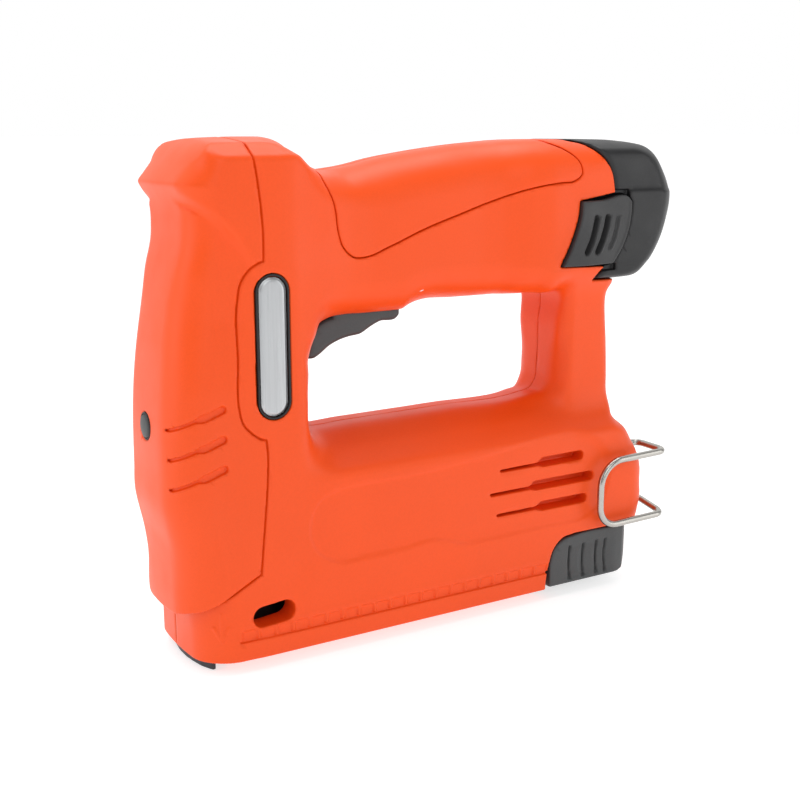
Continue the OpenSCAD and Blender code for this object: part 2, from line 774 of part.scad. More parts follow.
module trigger() {
    hub = arc(trigger_pivot, trigger_hub_r, 90, -90, 6);
    profile = concat([[41, 94.9], [41.5, 99], [42.9, 103.1], [45.2, 106], [48.2, 107.6],
        [50.7, 108.2], [50.7, 113], [54, 121], [62, 121]], hub, [[78.9, 113.8], [78.9, 111.5],
        [77.4, 109.6], [77.2, 106.7], [76.3, 106.1], [69.7, 105.4], [65.7, 103.7], [62, 101.7], [57.6, 101.1],
        [53.7, 100.2], [49.7, 98.5], [45.8, 95.8], [43.9, 94.8]]);
    color(grey) difference() {
        along_y(-trigger_half, trigger_half) polygon(profile);
        translate([trigger_pivot[0], 0, trigger_pivot[1]]) rod_y(-20, 20, trigger_pin_r + fit);
        translate([46, 0, 0]) rod_z(99, 125, 3.2);
    }
}

module trigger_pin() {
    color(steel) translate([trigger_pivot[0], 0, trigger_pivot[1]]) rod_y(-15.2, 15.2, trigger_pin_r);
}

module trigger_spring() {
    color(steel) wire(helix([46, 0, 99.4], 2, 2.2, 20, 9, 10), 0.35, 6, [0, 0, 1]);
}

module magazine_channel() {
    color(black) difference() {
        box(0.9, channel_len, -channel_half, channel_half, channel_z, channel_top);
        box(0, channel_len + 1, channel_t - channel_half, channel_half - channel_t, channel_z - 0.4,
            channel_top - channel_t);
    }
}

module magazine_rail() {
    color(steel) difference() {
        union() {
            box(6, 133.4, -9.4, 9.4, 1.2, 2.9);
            box(1.4, 133.4, -core_half, core_half, 2.4, core_z[1]);
        }
        box(2.4, 128, -3.5, 3.5, core_z[0], core_z[1] + 1);
        box(0, 6, -9, 9, 1, 4);
    }
}

module magazine_handle() {
    outline = [[133.4, 0.6], [133.4, 9.4], [136, 15.6], [139.2, 18.3], [144.8, 19.3], [174, 19.3],
        [173.2, 6], [170, 0.6]];
    color(grey) difference() {
        intersection() {
            along_y(-body_half, body_half) polygon(outline);
            translate([0, 0, -1]) linear_extrude(30) polygon(rounded(133.4, 174, body_half, 0.5, 8));
        }
        for (x = handle_grooves, side = [-1, 1])
            box(x, x + 1.6, side * body_half - 0.8, side * body_half + 0.8, 1.6, 14.8);
        box(136.6, 166, 3 - body_half, body_half - 3, 3.4, 16.4);
    }
}

module pusher() {
    color(grey) difference() {
        union() {
            box(pusher_x, pusher_x + 10, -5.6, 5.6, 5.8, 17.2);
            box(pusher_x + 1, spring_start - 0.2, -3.2, 3.2, 7, 16);
        }
        for (side = [-1, 1]) box(pusher_x - 1, pusher_x + 11, side * 4.1 - 0.75, side * 4.1 + 0.75,
            5, 15.7);
        box(pusher_x - 1, pusher_x + 11, -4.5, 4.5, 5, 7);
        box(spring_start - 0.2, pusher_x + 11, -4.5, 4.5, 5, 15.7);
    }
}

module pusher_spring() {
    color(steel) wire(helix([spring_start + 0.3, 0, 10.6], 0, 2.4, spring_end - spring_start, 14, 10),
        0.35, 6, [0, 0, 1]);
}

module staple_strip() {
    half = staple_w / 2;
    color("silver") difference() {
        box(3, 3 + strip_len, -half, half, 5.2, 16.6);
        box(2, 4 + strip_len, 0.7 - half, half - 0.7, 4, 15.9);
    }
}

module stem(x0, x1, g) {
    along_x(x0, x1) polygon(stem_section(g));
}

module cap_mass(inset) {
    intersection() {
        along_y(inset - pack_half, pack_half - inset) offset(delta = -inset) polygon(pack_side);
        translate([0, 0, 100]) linear_extrude(80) offset(delta = -inset)
            polygon(rounded(130, 194.8, pack_half, 3, 10));
        along_x(130, 200) offset(delta = -inset)
            translate([0, 138]) rotate(90) polygon(rounded(-23, 28.8, pack_half, 6, 12));
    }
}

module latch_room() {
    for (side = [-1, 1]) along_y(side * pack_half - 5.6, side * pack_half + 5.6)
        offset(delta = 0.4) polygon(latch_side);
}

module battery_case() {
    color(black) difference() {
        union() {
            difference() {
                cap_mass(0);
                cap_mass(2);
            }
            difference() {
                stem(stem_x, 166, 0);
                latch_room();
            }
            pack_walls(stem_x, 169, 0);
        }
        difference() {
            stem(stem_x + 1.6, 183, -1.6);
            pack_walls(stem_x, 169, 0);
        }
        latch_room();
        box(stem_x - 1, stem_x + 3, -9, 9, 142, 149);
    }
}

module battery_cells() {
    r = cell_d / 2 - 0.1;
    x0 = stem_x + 4.6;
    color("steelblue") for (c = [[-9.1, 150.6], [9.1, 150.6], [0, 135]])
        translate([0, c[0], c[1]]) rod_x(x0, x0 + cell_len - 2, r);
}

module battery_contacts() {
    color("goldenrod") for (y = [-7, 0, 7], side = [-1, 1])
        box(stem_x + 1.8, stem_x + 4.4, y + side * 0.8 - 0.2, y + side * 0.8 + 0.2, 142.6, 148.4);
}

module latch_body() {
    ribs = 3;
    difference() {
        union() {
            along_y(-24, -20.6) polygon(latch_side);
            // guide peg inside its spring
            translate([150, 0, 132]) rod_y(-20.7, -18.8, 1.2);
        }
        for (i = [0:ribs - 1]) translate([149 + 5 * i, -24, 132]) rotate([0, 8, 0])
            box(-0.7, 0.7, -0.9, 0.9, -7, 7);
    }
}

module latch_right() { color(grey) latch_body(); }
module latch_left() { color(grey) mirror([0, 1, 0]) latch_body(); }

module latch_spring() {
    wire(helix([150, -20.2, 132], 1, 2, 2.9, 2.5, 12), 0.35, 6, [0, 1, 0]);
}

module latch_spring_right() { color(steel) latch_spring(); }
module latch_spring_left() { color(steel) mirror([0, 1, 0]) latch_spring(); }

housing_right();
housing_left();
front_cover();
grip_insert_right();
grip_insert_left();
badge_frames();
badge_plates();
belt_hook();
housing_screws();
front_button();
button_bezel();
button_switch();
mechanism_frame();
nose_front_plate();
nose_rear_plate();
contact_nose();
contact_springs();
driver_blade();
hammer();
guide_rod();
main_spring();
spring_seat();
bumper();
lift_gear();
gear_shaft();
gear_bushes();
output_carrier();
output_planets();
first_carrier();
first_planets();
gearbox_case();
motor_can();
motor_magnets();
motor_end_cap();
rotor();
motor_fan();
circuit_board();
board_parts();
terminal_block();
terminal_blades();
switch_body();
switch_plunger();
trigger();
trigger_pin();
trigger_spring();
magazine_channel();
magazine_rail();
magazine_handle();
pusher();
pusher_spring();
staple_strip();
battery_case();
battery_cells();
battery_contacts();
latch_right();
latch_left();
latch_spring_right();
latch_spring_left();
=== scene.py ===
"""Cordless staple gun: moulded shapes, finishes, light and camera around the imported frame.
Shapes are worked out in millimetres and written to the meshes in metres."""
import json
import math

import bpy
import numpy as np
import openvdb
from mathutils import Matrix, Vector


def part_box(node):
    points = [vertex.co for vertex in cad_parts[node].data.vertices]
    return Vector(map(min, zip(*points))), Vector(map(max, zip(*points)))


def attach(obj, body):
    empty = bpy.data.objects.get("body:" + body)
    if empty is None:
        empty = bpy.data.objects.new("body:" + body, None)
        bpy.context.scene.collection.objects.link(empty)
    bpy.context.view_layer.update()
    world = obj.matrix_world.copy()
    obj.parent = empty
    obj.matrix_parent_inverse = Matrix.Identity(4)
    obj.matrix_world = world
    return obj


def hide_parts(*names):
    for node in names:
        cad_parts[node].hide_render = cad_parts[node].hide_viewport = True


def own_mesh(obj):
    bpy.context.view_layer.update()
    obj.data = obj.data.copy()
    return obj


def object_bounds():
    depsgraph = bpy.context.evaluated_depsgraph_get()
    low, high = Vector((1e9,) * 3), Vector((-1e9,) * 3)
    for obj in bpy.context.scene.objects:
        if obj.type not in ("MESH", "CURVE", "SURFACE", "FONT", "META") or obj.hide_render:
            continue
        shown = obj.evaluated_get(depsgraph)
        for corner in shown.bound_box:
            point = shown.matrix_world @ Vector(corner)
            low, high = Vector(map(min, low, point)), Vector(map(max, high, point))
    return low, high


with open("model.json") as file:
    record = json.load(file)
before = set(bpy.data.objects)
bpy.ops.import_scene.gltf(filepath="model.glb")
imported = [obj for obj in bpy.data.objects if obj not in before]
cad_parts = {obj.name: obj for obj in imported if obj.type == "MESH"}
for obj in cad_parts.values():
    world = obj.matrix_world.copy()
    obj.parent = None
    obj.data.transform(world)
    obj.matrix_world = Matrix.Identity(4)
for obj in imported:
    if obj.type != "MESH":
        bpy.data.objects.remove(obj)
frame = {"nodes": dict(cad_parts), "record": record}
cad_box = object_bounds()
MM = 0.001
F32 = np.float32


# ---------------------------------------------------------------- outlines and distances

def curve(points, sharp=(), closed=True, step=1.6):
    """Points along a smooth line through the given ones; those numbered in sharp stay corners."""
    p = np.asarray(points, float)
    n = len(p)
    if closed:
        gaps = np.linalg.norm(np.roll(p, -1, 0) - p, axis=1)
    else:
        gaps = np.linalg.norm(p[1:] - p[:-1], axis=1)
    out = []

    def heading(i, outward):
        before, after = (i - 1) % n, i % n
        if not closed and i in (0, n - 1) or i % n in sharp:
            k = after if outward else before
            return (p[(k + 1) % n] - p[k]) / gaps[k]
        a = (p[i % n] - p[before]) / gaps[before]
        b = (p[(i + 1) % n] - p[i % n]) / gaps[after]
        return (a * gaps[after] + b * gaps[before]) / (gaps[after] + gaps[before])

    for i in range(n if closed else n - 1):
        a, b, g = p[i], p[(i + 1) % n], gaps[i]
        ma, mb = heading(i, True) * g, heading(i + 1, False) * g
        for t in np.linspace(0, 1, max(2, int(math.ceil(g / step))), endpoint=False):
            out.append((2 * t ** 3 - 3 * t ** 2 + 1) * a + (t ** 3 - 2 * t ** 2 + t) * ma
                       + (3 * t ** 2 - 2 * t ** 3) * b + (t ** 3 - t ** 2) * mb)
    if not closed:
        out.append(p[-1])
    return np.array(out)


def outline(points, x, z):
    """Distance to a closed outline on the given grid, negative inside."""
    p = np.asarray(points, F32)
    best = np.full(np.broadcast(x, z).shape, 1e9, F32)
    inside = np.zeros(best.shape, bool)
    for a, b in zip(p, np.roll(p, -1, 0)):
        e = b - a
        px, pz = x - a[0], z - a[1]
        t = np.clip((px * e[0] + pz * e[1]) / (e @ e + 1e-12), 0, 1)
        best = np.minimum(best, (px - t * e[0]) ** 2 + (pz - t * e[1]) ** 2)
        if a[1] != b[1]:
            inside ^= ((a[1] > z) != (b[1] > z)) & (x < e[0] * (z - a[1]) / e[1] + a[0])
    return np.where(inside, -1, 1).astype(F32) * np.sqrt(best)


def tapered(points, widths, x, z):
    """Distance to a line whose half width changes from point to point, negative inside."""
    best = np.full(np.broadcast(x, z).shape, 1e9, F32)
    for a, b, wa, wb in zip(points[:-1], points[1:], widths[:-1], widths[1:]):
        ex, ez = b[0] - a[0], b[1] - a[1]
        px, pz = x - a[0], z - a[1]
        t = np.clip((px * ex + pz * ez) / (ex * ex + ez * ez), 0, 1)
        best = np.minimum(best, np.hypot(px - t * ex, pz - t * ez) - (wa + (wb - wa) * t))
    return best


def blur(a, sigma):
    """Gaussian smoothing of a 2-D array; sigma is in cells."""
    reach = int(math.ceil(3 * sigma))
    k = np.exp(-0.5 * (np.arange(-reach, reach + 1) / sigma) ** 2)
    k /= k.sum()
    for axis in (0, 1):
        pad = [(0, 0), (0, 0)]
        pad[axis] = (reach, reach)
        wide = np.pad(a, pad, mode="edge")
        n = a.shape[axis]
        a = sum(w * (wide[i:i + n] if axis == 0 else wide[:, i:i + n]) for i, w in enumerate(k))
    return a.astype(F32)


def ease(a, b, t):
    u = np.clip((t - a) / (b - a), 0, 1)
    return u * u * (3 - 2 * u)


def mix(a, b, t):
    return a + (b - a) * t


def meet(a, b, r):
    """Intersection of two solids with an edge of radius r."""
    u, v = np.maximum(a + r, 0), np.maximum(b + r, 0)
    return np.minimum(np.maximum(a, b) + r, 0) + np.sqrt(u * u + v * v) - r


def join(a, b, r):
    return -meet(-a, -b, r)


def most(*solids):
    """What all the given solids share."""
    out = solids[0]
    for a in solids[1:]:
        out = np.maximum(out, a)
    return out


def cut(a, b, r=0.3):
    """Solid a without solid b."""
    return meet(a, -b, r)


# ---------------------------------------------------------------- meshes from solids

def sample(field, p):
    """Field value at points given in cells."""
    top = np.array(field.shape) - 1.001
    p = np.clip(p, 0, top)
    i = p.astype(np.int32)
    f = (p - i).astype(F32)
    total = 0
    for dx in (0, 1):
        for dy in (0, 1):
            for dz in (0, 1):
                w = (f[:, 0] if dx else 1 - f[:, 0]) * (f[:, 1] if dy else 1 - f[:, 1]) \
                    * (f[:, 2] if dz else 1 - f[:, 2])
                total = total + w * field[i[:, 0] + dx, i[:, 1] + dy, i[:, 2] + dz]
    return total


def slope(field, p, reach=0.6):
    g = np.stack([sample(field, p + reach * e) - sample(field, p - reach * e) for e in np.eye(3)],
                 1)
    return g


def solid(name, field, origin, cell, slot, body, nodes=(), adapt=0.0, mirror=False, twin=False):
    """A mesh of the surface where field is 0, in millimetres from origin, cell apart.
    mirror puts it on the other side of the mid-plane, twin on both sides."""
    reach = 3 * cell
    field = np.clip(field, -reach, reach).astype(F32)
    for axis in range(3):
        for end in (0, -1):
            face = [slice(None)] * 3
            face[axis] = end
            field[tuple(face)] = np.maximum(field[tuple(face)], cell)
    grid = openvdb.FloatGrid(float(reach))
    grid.copyFromArray(field)
    points, tris, quads = grid.convertToPolygons(0.0, adapt)
    points = points.astype(float)
    for _ in range(2):
        g = slope(field, points, 0.5)
        length = np.linalg.norm(g, axis=1) + 1e-9
        move = (-sample(field, points) / length)[:, None] * g / length[:, None]
        points += np.clip(move, -0.7, 0.7)
    g = slope(field, points, 0.6)
    normals = g / (np.linalg.norm(g, axis=1)[:, None] + 1e-9)
    points = (np.asarray(origin, float) + points * cell) * MM
    flip = np.array([1, -1, 1])
    if mirror:
        points, normals, quads, tris = points * flip, normals * flip, quads[:, ::-1], tris[:, ::-1]
    if twin:
        n = len(points)
        quads = np.concatenate([quads, quads[:, ::-1] + n])
        tris = np.concatenate([tris, tris[:, ::-1] + n])
        points = np.concatenate([points, points * flip])
        normals = np.concatenate([normals, normals * flip])
    loops = np.concatenate([quads.ravel(), tris.ravel()]).astype(np.int32)
    sizes = np.concatenate([np.full(len(quads), 4), np.full(len(tris), 3)]).astype(np.int32)
    mesh = bpy.data.meshes.new(name)
    mesh.vertices.add(len(points))
    mesh.vertices.foreach_set("co", points.astype(F32).ravel())
    mesh.loops.add(len(loops))
    mesh.loops.foreach_set("vertex_index", loops)
    mesh.polygons.add(len(sizes))
    starts = np.concatenate([[0], np.cumsum(sizes)[:-1]]).astype(np.int32)
    mesh.polygons.foreach_set("loop_start", starts)
    mesh.update(calc_edges=True)
    mesh.validate()
    mesh.shade_smooth()
    if len(mesh.vertices) == len(normals):
        mesh.normals_split_custom_set_from_vertices(normals.astype(F32))
    piece = bpy.data.objects.new(name, mesh)
    bpy.context.scene.collection.objects.link(piece)
    return finish_piece(piece, slot, body, nodes)


def finish_piece(piece, slot, body, nodes=()):
    piece.data.materials.clear()
    piece.data.materials.append(MATERIALS[slot])
    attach(piece, body)
    if nodes:
        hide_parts(*nodes)
    return piece


def cells(x0, x1, y0, y1, z0, z1, cell):
    """A small grid of its own: origin, x, y and z to broadcast."""
    axes = [np.arange(a, b + cell, cell).astype(F32) for a, b in ((x0, x1), (y0, y1), (z0, z1))]
    return (x0, y0, z0), axes[0][:, None, None], axes[1][None, :, None], axes[2][None, None, :]


def plan(points, x, z):
    """Outline distance on a small grid, ready to broadcast over its third axis."""
    sides = [np.ravel(a) for a in (x, z)]
    flat = outline(points, sides[0][:, None], sides[1][None, :])
    shape = [1, 1, 1]
    for a, size in zip((x, z), flat.shape):
        shape[[i for i in range(3) if a.shape[i] > 1][0]] = size
    return flat.reshape(shape)


def plan_line(points, width, x, z):
    """Like plan, for a line with the given half width."""
    flat = tapered(points, [width] * len(points), x.reshape(-1, 1), z.reshape(1, -1))
    return flat.reshape(x.size, 1, z.size)


# ---------------------------------------------------------------- materials

def node_material(name, color, rough, metallic=0.0, specular=0.5, grain=900.0, bump=0.06, vary=0.06,
                  rough_vary=0.08, stretch=(1, 1, 1)):
    """Principled finish with noise in its colour and roughness and a fine grain in its bump."""
    m = bpy.data.materials.new(name)
    m.use_nodes = True
    nt = m.node_tree
    shader = nt.nodes["Principled BSDF"]
    shader.inputs["Metallic"].default_value = metallic
    shader.inputs["Specular IOR Level"].default_value = specular
    place = nt.nodes.new("ShaderNodeTexCoord")
    scale = nt.nodes.new("ShaderNodeMapping")
    scale.inputs["Scale"].default_value = stretch
    nt.links.new(place.outputs["Object"], scale.inputs["Vector"])

    def noise(size, detail, rough_amount=0.5):
        n = nt.nodes.new("ShaderNodeTexNoise")
        n.inputs["Scale"].default_value = size
        n.inputs["Detail"].default_value = detail
        n.inputs["Roughness"].default_value = rough_amount
        nt.links.new(scale.outputs["Vector"], n.inputs["Vector"])
        return n

    def ramp(source, low, high, start=0.3, end=0.7):
        r = nt.nodes.new("ShaderNodeValToRGB")
        r.color_ramp.elements[0].position = start
        r.color_ramp.elements[1].position = end
        r.color_ramp.elements[0].color = low
        r.color_ramp.elements[1].color = high
        nt.links.new(source, r.inputs["Fac"])
        return r

    broad = noise(18.0, 3.0)
    fine = noise(grain, 2.0, 0.6)
    dark = [c * (1 - vary) for c in color] + [1]
    light = [min(1, c * (1 + vary)) for c in color] + [1]
    tone = ramp(broad.outputs["Fac"], dark, light)
    speck = ramp(fine.outputs["Fac"], [1 - vary] * 3 + [1], [1] * 4, 0.35, 0.6)
    both = nt.nodes.new("ShaderNodeMix")
    both.data_type = "RGBA"
    both.blend_type = "MULTIPLY"
    both.inputs["Factor"].default_value = 1.0
    nt.links.new(tone.outputs["Color"], both.inputs[6])
    nt.links.new(speck.outputs["Color"], both.inputs[7])
    nt.links.new(both.outputs[2], shader.inputs["Base Color"])
    gloss = ramp(noise(55.0, 4.0).outputs["Fac"], [max(0.02, rough - rough_vary)] * 3 + [1],
                 [min(1, rough + rough_vary)] * 3 + [1])
    nt.links.new(gloss.outputs["Color"], shader.inputs["Roughness"])
    relief = nt.nodes.new("ShaderNodeBump")
    relief.inputs["Strength"].default_value = bump
    relief.inputs["Distance"].default_value = 0.0002
    nt.links.new(fine.outputs["Fac"], relief.inputs["Height"])
    nt.links.new(relief.outputs["Normal"], shader.inputs["Normal"])
    return m


MATERIALS = {
    "orange_plastic": node_material("orange_plastic", (0.84, 0.0755, 0.004), 0.42, grain=1500,
                                    bump=0.10,
                                    vary=0.03, rough_vary=0.05, specular=0.32),
    "black_plastic": node_material("black_plastic", (0.011, 0.011, 0.012), 0.42, grain=1400,
                                   bump=0.12,
                                   vary=0.15, specular=0.36),
    "dark_grey_plastic": node_material("dark_grey_plastic", (0.048, 0.050, 0.051), 0.50, grain=1500,
                                       bump=0.16, vary=0.10),
    "latch_grey": node_material("latch_grey", (0.030, 0.030, 0.031), 0.46, grain=1400, bump=0.14,
                                vary=0.10,
                                specular=0.4),
    "badge_silver": node_material("badge_silver", (0.46, 0.47, 0.48), 0.34, metallic=1.0, grain=60,
                                  bump=0.10,
                                  vary=0.05, stretch=(60, 60, 1)),
    "chrome_wire": node_material("chrome_wire", (0.43, 0.415, 0.385), 0.26, metallic=1.0, grain=700,
                                 bump=0.03,
                                 vary=0.03, rough_vary=0.05),
    "steel": node_material("steel", (0.60, 0.61, 0.63), 0.34, metallic=1.0, grain=500, bump=0.08,
                           stretch=(1, 1, 6)),
    "spring_steel": node_material("spring_steel", (0.42, 0.42, 0.44), 0.30, metallic=1.0, grain=900,
                                  bump=0.06),
    "dark_steel": node_material("dark_steel", (0.045, 0.045, 0.050), 0.42, metallic=0.6, grain=800,
                                bump=0.10,
                                vary=0.15),
    "bronze": node_material("bronze", (0.62, 0.40, 0.17), 0.38, metallic=1.0, grain=1200, bump=0.14,
                            vary=0.12),
    "rubber": node_material("rubber", (0.03, 0.03, 0.03), 0.75, grain=900, bump=0.2, vary=0.15),
    "winding": node_material("winding", (0.50, 0.20, 0.08), 0.35, metallic=0.7, grain=300, bump=0.3,
                             vary=0.2, stretch=(8, 1, 1)),
    "magnet": node_material("magnet", (0.07, 0.07, 0.08), 0.55, metallic=0.3, grain=700, bump=0.15,
                            vary=0.2),
    "board_green": node_material("board_green", (0.02, 0.16, 0.06), 0.30, grain=500, bump=0.05,
                                 vary=0.15),
    "cell_wrap": node_material("cell_wrap", (0.08, 0.22, 0.46), 0.28, grain=400, bump=0.05,
                               vary=0.08),
    "contact_brass": node_material("contact_brass", (0.76, 0.58, 0.28), 0.28, metallic=1.0,
                                   grain=700,
                                   bump=0.06),
    "white_plastic": node_material("white_plastic", (0.78, 0.78, 0.75), 0.45, grain=1200, bump=0.08,
                                   vary=0.04),
    "staple_steel": node_material("staple_steel", (0.68, 0.69, 0.71), 0.30, metallic=1.0, grain=300,
                                  bump=0.25, vary=0.10, stretch=(12, 1, 1)),
}
for row in frame["record"]["subparts"]:
    data = frame["nodes"][row["node"]].data
    data.materials.clear()
    data.materials.append(MATERIALS[row["material_slot"]])

# ---------------------------------------------------------------- camera, light and floor

scene = bpy.context.scene
scene.view_settings.view_transform = "Standard"
eye = bpy.data.cameras.new("camera")
eye.lens = 54.0
eye.sensor_width = 36.0
eye.clip_start = 0.01
camera = bpy.data.objects.new("camera", eye)
camera.location = (-0.13643, -0.36332, 0.170)
camera.rotation_euler = (math.radians(77.3), 0, math.radians(-31.0))
scene.collection.objects.link(camera)
scene.camera = camera


def lamp(name, place, target, power, width, height):
    light = bpy.data.lights.new(name, "AREA")
    light.shape = "RECTANGLE"
    light.size, light.size_y = width, height
    light.energy = power
    o = bpy.data.objects.new(name, light)
    o.location = place
    o.rotation_euler = (Vector(target) - Vector(place)).to_track_quat("-Z", "Y").to_euler()
    scene.collection.objects.link(o)
    return o


AIM = (0.09, 0, 0.085)
lamp("key", (-0.95, 0.02, 0.42), AIM, 2.4, 0.5, 0.9)
lamp("side", (0.76, -0.60, 0.24), AIM, 1.5, 0.4, 0.7)
lamp("fill", (-0.05, -0.95, 0.60), AIM, 2.4, 0.7, 0.7)
lamp("top", (0.1, 0.10, 0.95), AIM, 5.3, 0.9, 0.5)
world = bpy.data.worlds.new("studio")
world.use_nodes = True
sky = world.node_tree
ways = sky.nodes.new("ShaderNodeTexCoord")
split = sky.nodes.new("ShaderNodeSeparateXYZ")
shade = sky.nodes.new("ShaderNodeValToRGB")
shade.color_ramp.elements[0].position = 0.0
shade.color_ramp.elements[0].color = (0.42, 0.42, 0.42, 1)
shade.color_ramp.elements[1].position = 0.12
shade.color_ramp.elements[1].color = (1, 1, 1, 1)
sky.links.new(ways.outputs["Generated"], split.inputs[0])
sky.links.new(split.outputs["Y"], shade.inputs["Fac"])
sky.links.new(shade.outputs["Color"], sky.nodes["Background"].inputs["Color"])
sky.nodes["Background"].inputs["Strength"].default_value = 1.0
scene.world = world

FLOOR_Z = cad_box[0][2] - 0.0003
floor_mesh = bpy.data.meshes.new("floor")
floor_mesh.from_pydata([(-30, -30, FLOOR_Z), (30, -30, FLOOR_Z), (30, 30, FLOOR_Z),
                        (-30, 30, FLOOR_Z)], [],
                       [(0, 1, 2, 3)])
floor = bpy.data.objects.new("floor", floor_mesh)
paper = node_material("floor", (0.55, 0.55, 0.55), 0.8, grain=40, bump=0.0, vary=0.004,
                      specular=0.2)
paper.node_tree.nodes["Principled BSDF"].inputs["Emission Color"].default_value = (1, 1, 1, 1)
paper.node_tree.nodes["Principled BSDF"].inputs["Emission Strength"].default_value = 0.66
floor_mesh.materials.append(paper)
scene.collection.objects.link(floor)

# ---------------------------------------------------------------- body: side view

CELL = 0.45
X0, Y0, Z0 = -18.0, -26.1, -3.0
NX, NY, NZ = int(206 / CELL), 117, int(175 / CELL)
GX = (X0 + CELL * np.arange(NX)).astype(F32)[:, None]
GZ = (Z0 + CELL * np.arange(NZ)).astype(F32)[None, :]
GY = (Y0 + CELL * np.arange(NY)).astype(F32)

front = [(-11.2, 14.8), (-11.3, 20.2), (-11.0, 29.5), (-11.8, 39.3), (-13.3, 46.6), (-14.2, 51.7),
         (-14.1, 62.3), (-13.4, 83.8), (-12.2, 96.3), (-10.2, 111), (-6.8, 128), (-5.2, 133.7),
         (-4.6, 137), (-4.4, 141.3), (-4.7, 146.5), (-5.8, 150), (-8.1, 154.0), (-2.9, 160.6),
         (1.0, 164.9), (4.9, 167.5), (17, 168.1), (31.3, 168.2), (36.5, 165.1), (41.9, 160.2),
         (46.6, 157.9), (52.6, 157.4), (59.4, 158.2), (69.9, 160.5), (81.9, 162.4), (97, 164.3),
         (113.2, 165.7), (127, 166.4), (140.5, 166.6), (152, 166.4), (168, 166.2)]
rear = [(176, 165.9), (176, 116), (165.8, 115.7), (166.7, 114.1), (166.2, 110.9), (166.7, 100),
        (167.6, 90.6), (168.7, 72.7), (169.3, 67), (170.2, 62), (172.5, 57.6), (176.1, 52.6),
        (179.1, 48), (181.3, 42), (181.6, 34.7), (181.2, 26.9), (179.6, 21.3), (176.2, 16)]
window = [(36.5, 74), (36.6, 90), (36.8, 97), (38.6, 102.2), (42.2, 105.9), (47.5, 108),
          (62, 108.1), (77.3, 108.2), (80.6, 110), (85, 111.2), (100, 111.3), (137, 111.4),
          (143.0, 111.3), (143.6, 110.5), (143.5, 98), (143.3, 82), (142.7, 76.4), (140.4, 73.1),
          (134, 71.7), (100, 70.8), (60, 70.2), (42, 70.1), (38.2, 70.9)]


def side(points, first):
    return outline(np.concatenate([points, [(176, -30), (first, -30)]]), GX, GZ)


cover_front = curve(front + rear, sharp=(16, 19, 21, 35, 36), closed=False)
FOOT_X = -6.4  # front face of the foot, set back under the cover
foot_front = curve([(FOOT_X, 16), (FOOT_X, 30)] + front[5:] + rear,
                   sharp=(0, 1, 13, 16, 18, 32, 33), closed=False)
hole = outline(curve(window, sharp=(7,)), GX, GZ)
side_cover = np.maximum(side(cover_front, -11.2), -hole)
side_body = np.maximum(side(foot_front, FOOT_X), -hole)
side_cover, side_body = blur(side_cover, 1.2), blur(side_body, 1.2)

# ---------------------------------------------------------------- body: half width and edge radius


def levels(z, table):
    return np.interp(z, [t[0] for t in table], [t[1] for t in table]).astype(F32)


half_low = levels(GZ, [(0, 25), (57.6, 25), (59.4, 24.2), (61.5, 21.4), (64.5, 17.0),
                       (67.5, 13.2), (70, 11.2), (72, 10.6), (80, 10.6)]) + 0 * GX
half_post = levels(GZ, [(0, 25), (57.6, 25), (59.2, 24.0), (61.2, 21.2), (63.4, 18.6),
                        (66.4, 16.6), (70, 15.5), (76, 15), (104, 15), (109, 15.6), (113, 17.4),
                        (117, 20.4), (121.3, 22.5), (200, 22.5)]) + 0 * GX
half_grip = levels(GX, [(-30, 25), (24, 25), (30, 24.6), (36, 22.8), (44, 20.2), (52, 18.7),
                        (60, 18.1), (75, 18), (105, 18), (114, 18.7), (124, 21.2), (133, 22.5),
                        (200, 22.5)]) + 0 * GZ
low = mix(25.0 + 0 * GX * GZ, half_low, ease(30, 46, GX))
low = mix(low, half_post, ease(137, 149, GX))
high = mix(half_grip, np.minimum(half_grip, half_post), ease(134, 147, GX))
# Below a crease that sweeps down from the chin, the sides turn in towards the front.
crease = np.interp(GX, [-15, -5.8, 4.4, 9.6, 13.3, 18],
                   [154.5, 151.5, 144.5, 138.3, 132.6, 122]).astype(F32)
toe = (ease(19, 5, GX) * ease(0, 3.5, crease - GZ)
       * levels(GZ, [(0, 0.5), (90, 0.9), (112, 2.8), (200, 2.8)]))
HALF = blur(mix(low, high, ease(84, 104, GZ)), 2.7) - blur(toe, 1.3)
CROWN = levels(GZ, [(0, 0.004), (14, 0.004), (18, 0.003), (140, 0.002), (152, 0.003),
                    (160, 0.004), (165, 0.002), (168, 0)]) * ease(22, 0, GX)
SLOPE = np.sqrt(1 + sum(g * g for g in np.gradient(HALF, CELL)))

radius_at = [(-12, 20, 14), (-8, 5, 12), (-8, 0, 12), (-12, 50, 12.5), (-13, 80, 12.5),
             (-9, 110, 12), (-5, 140, 10), (-6, 150, 9.5), (-5, 159, 9.5), (0, 165, 5),
             (8, 168, 3), (20, 168, 2.5), (30, 168, 3), (36, 165, 6), (41, 161, 10),
             (47, 158, 13), (55, 158, 15), (70, 160, 15.5), (90, 163, 15.5), (110, 165, 15),
             (130, 166, 14), (148, 166, 13.5), (160, 160, 12), (48, 109, 13), (62, 109, 14),
             (80, 110, 14), (95, 112, 14), (112, 112, 13.5), (126, 112, 12), (137, 112, 9),
             (35, 100, 7), (36, 90, 5), (36, 80, 4), (37, 72, 4), (50, 71, 6), (75, 71, 6),
             (100, 71, 6), (125, 72, 6), (139, 72, 5), (144, 80, 6), (144, 95, 6), (144, 108, 5),
             (168, 80, 5), (167, 95, 5), (166, 108, 5), (168, 115, 4), (169, 68, 6), (170, 59, 9),
             (178, 50, 10), (181, 38, 10), (181, 26, 9), (176, 18, 8)]
weight = total = 0
for px, pz, value in radius_at:
    w = 1 / ((GX - px) ** 2 + (GZ - pz) ** 2 + 9) ** 2
    weight, total = weight + w, total + w * value
RADIUS = (total / weight).astype(F32)


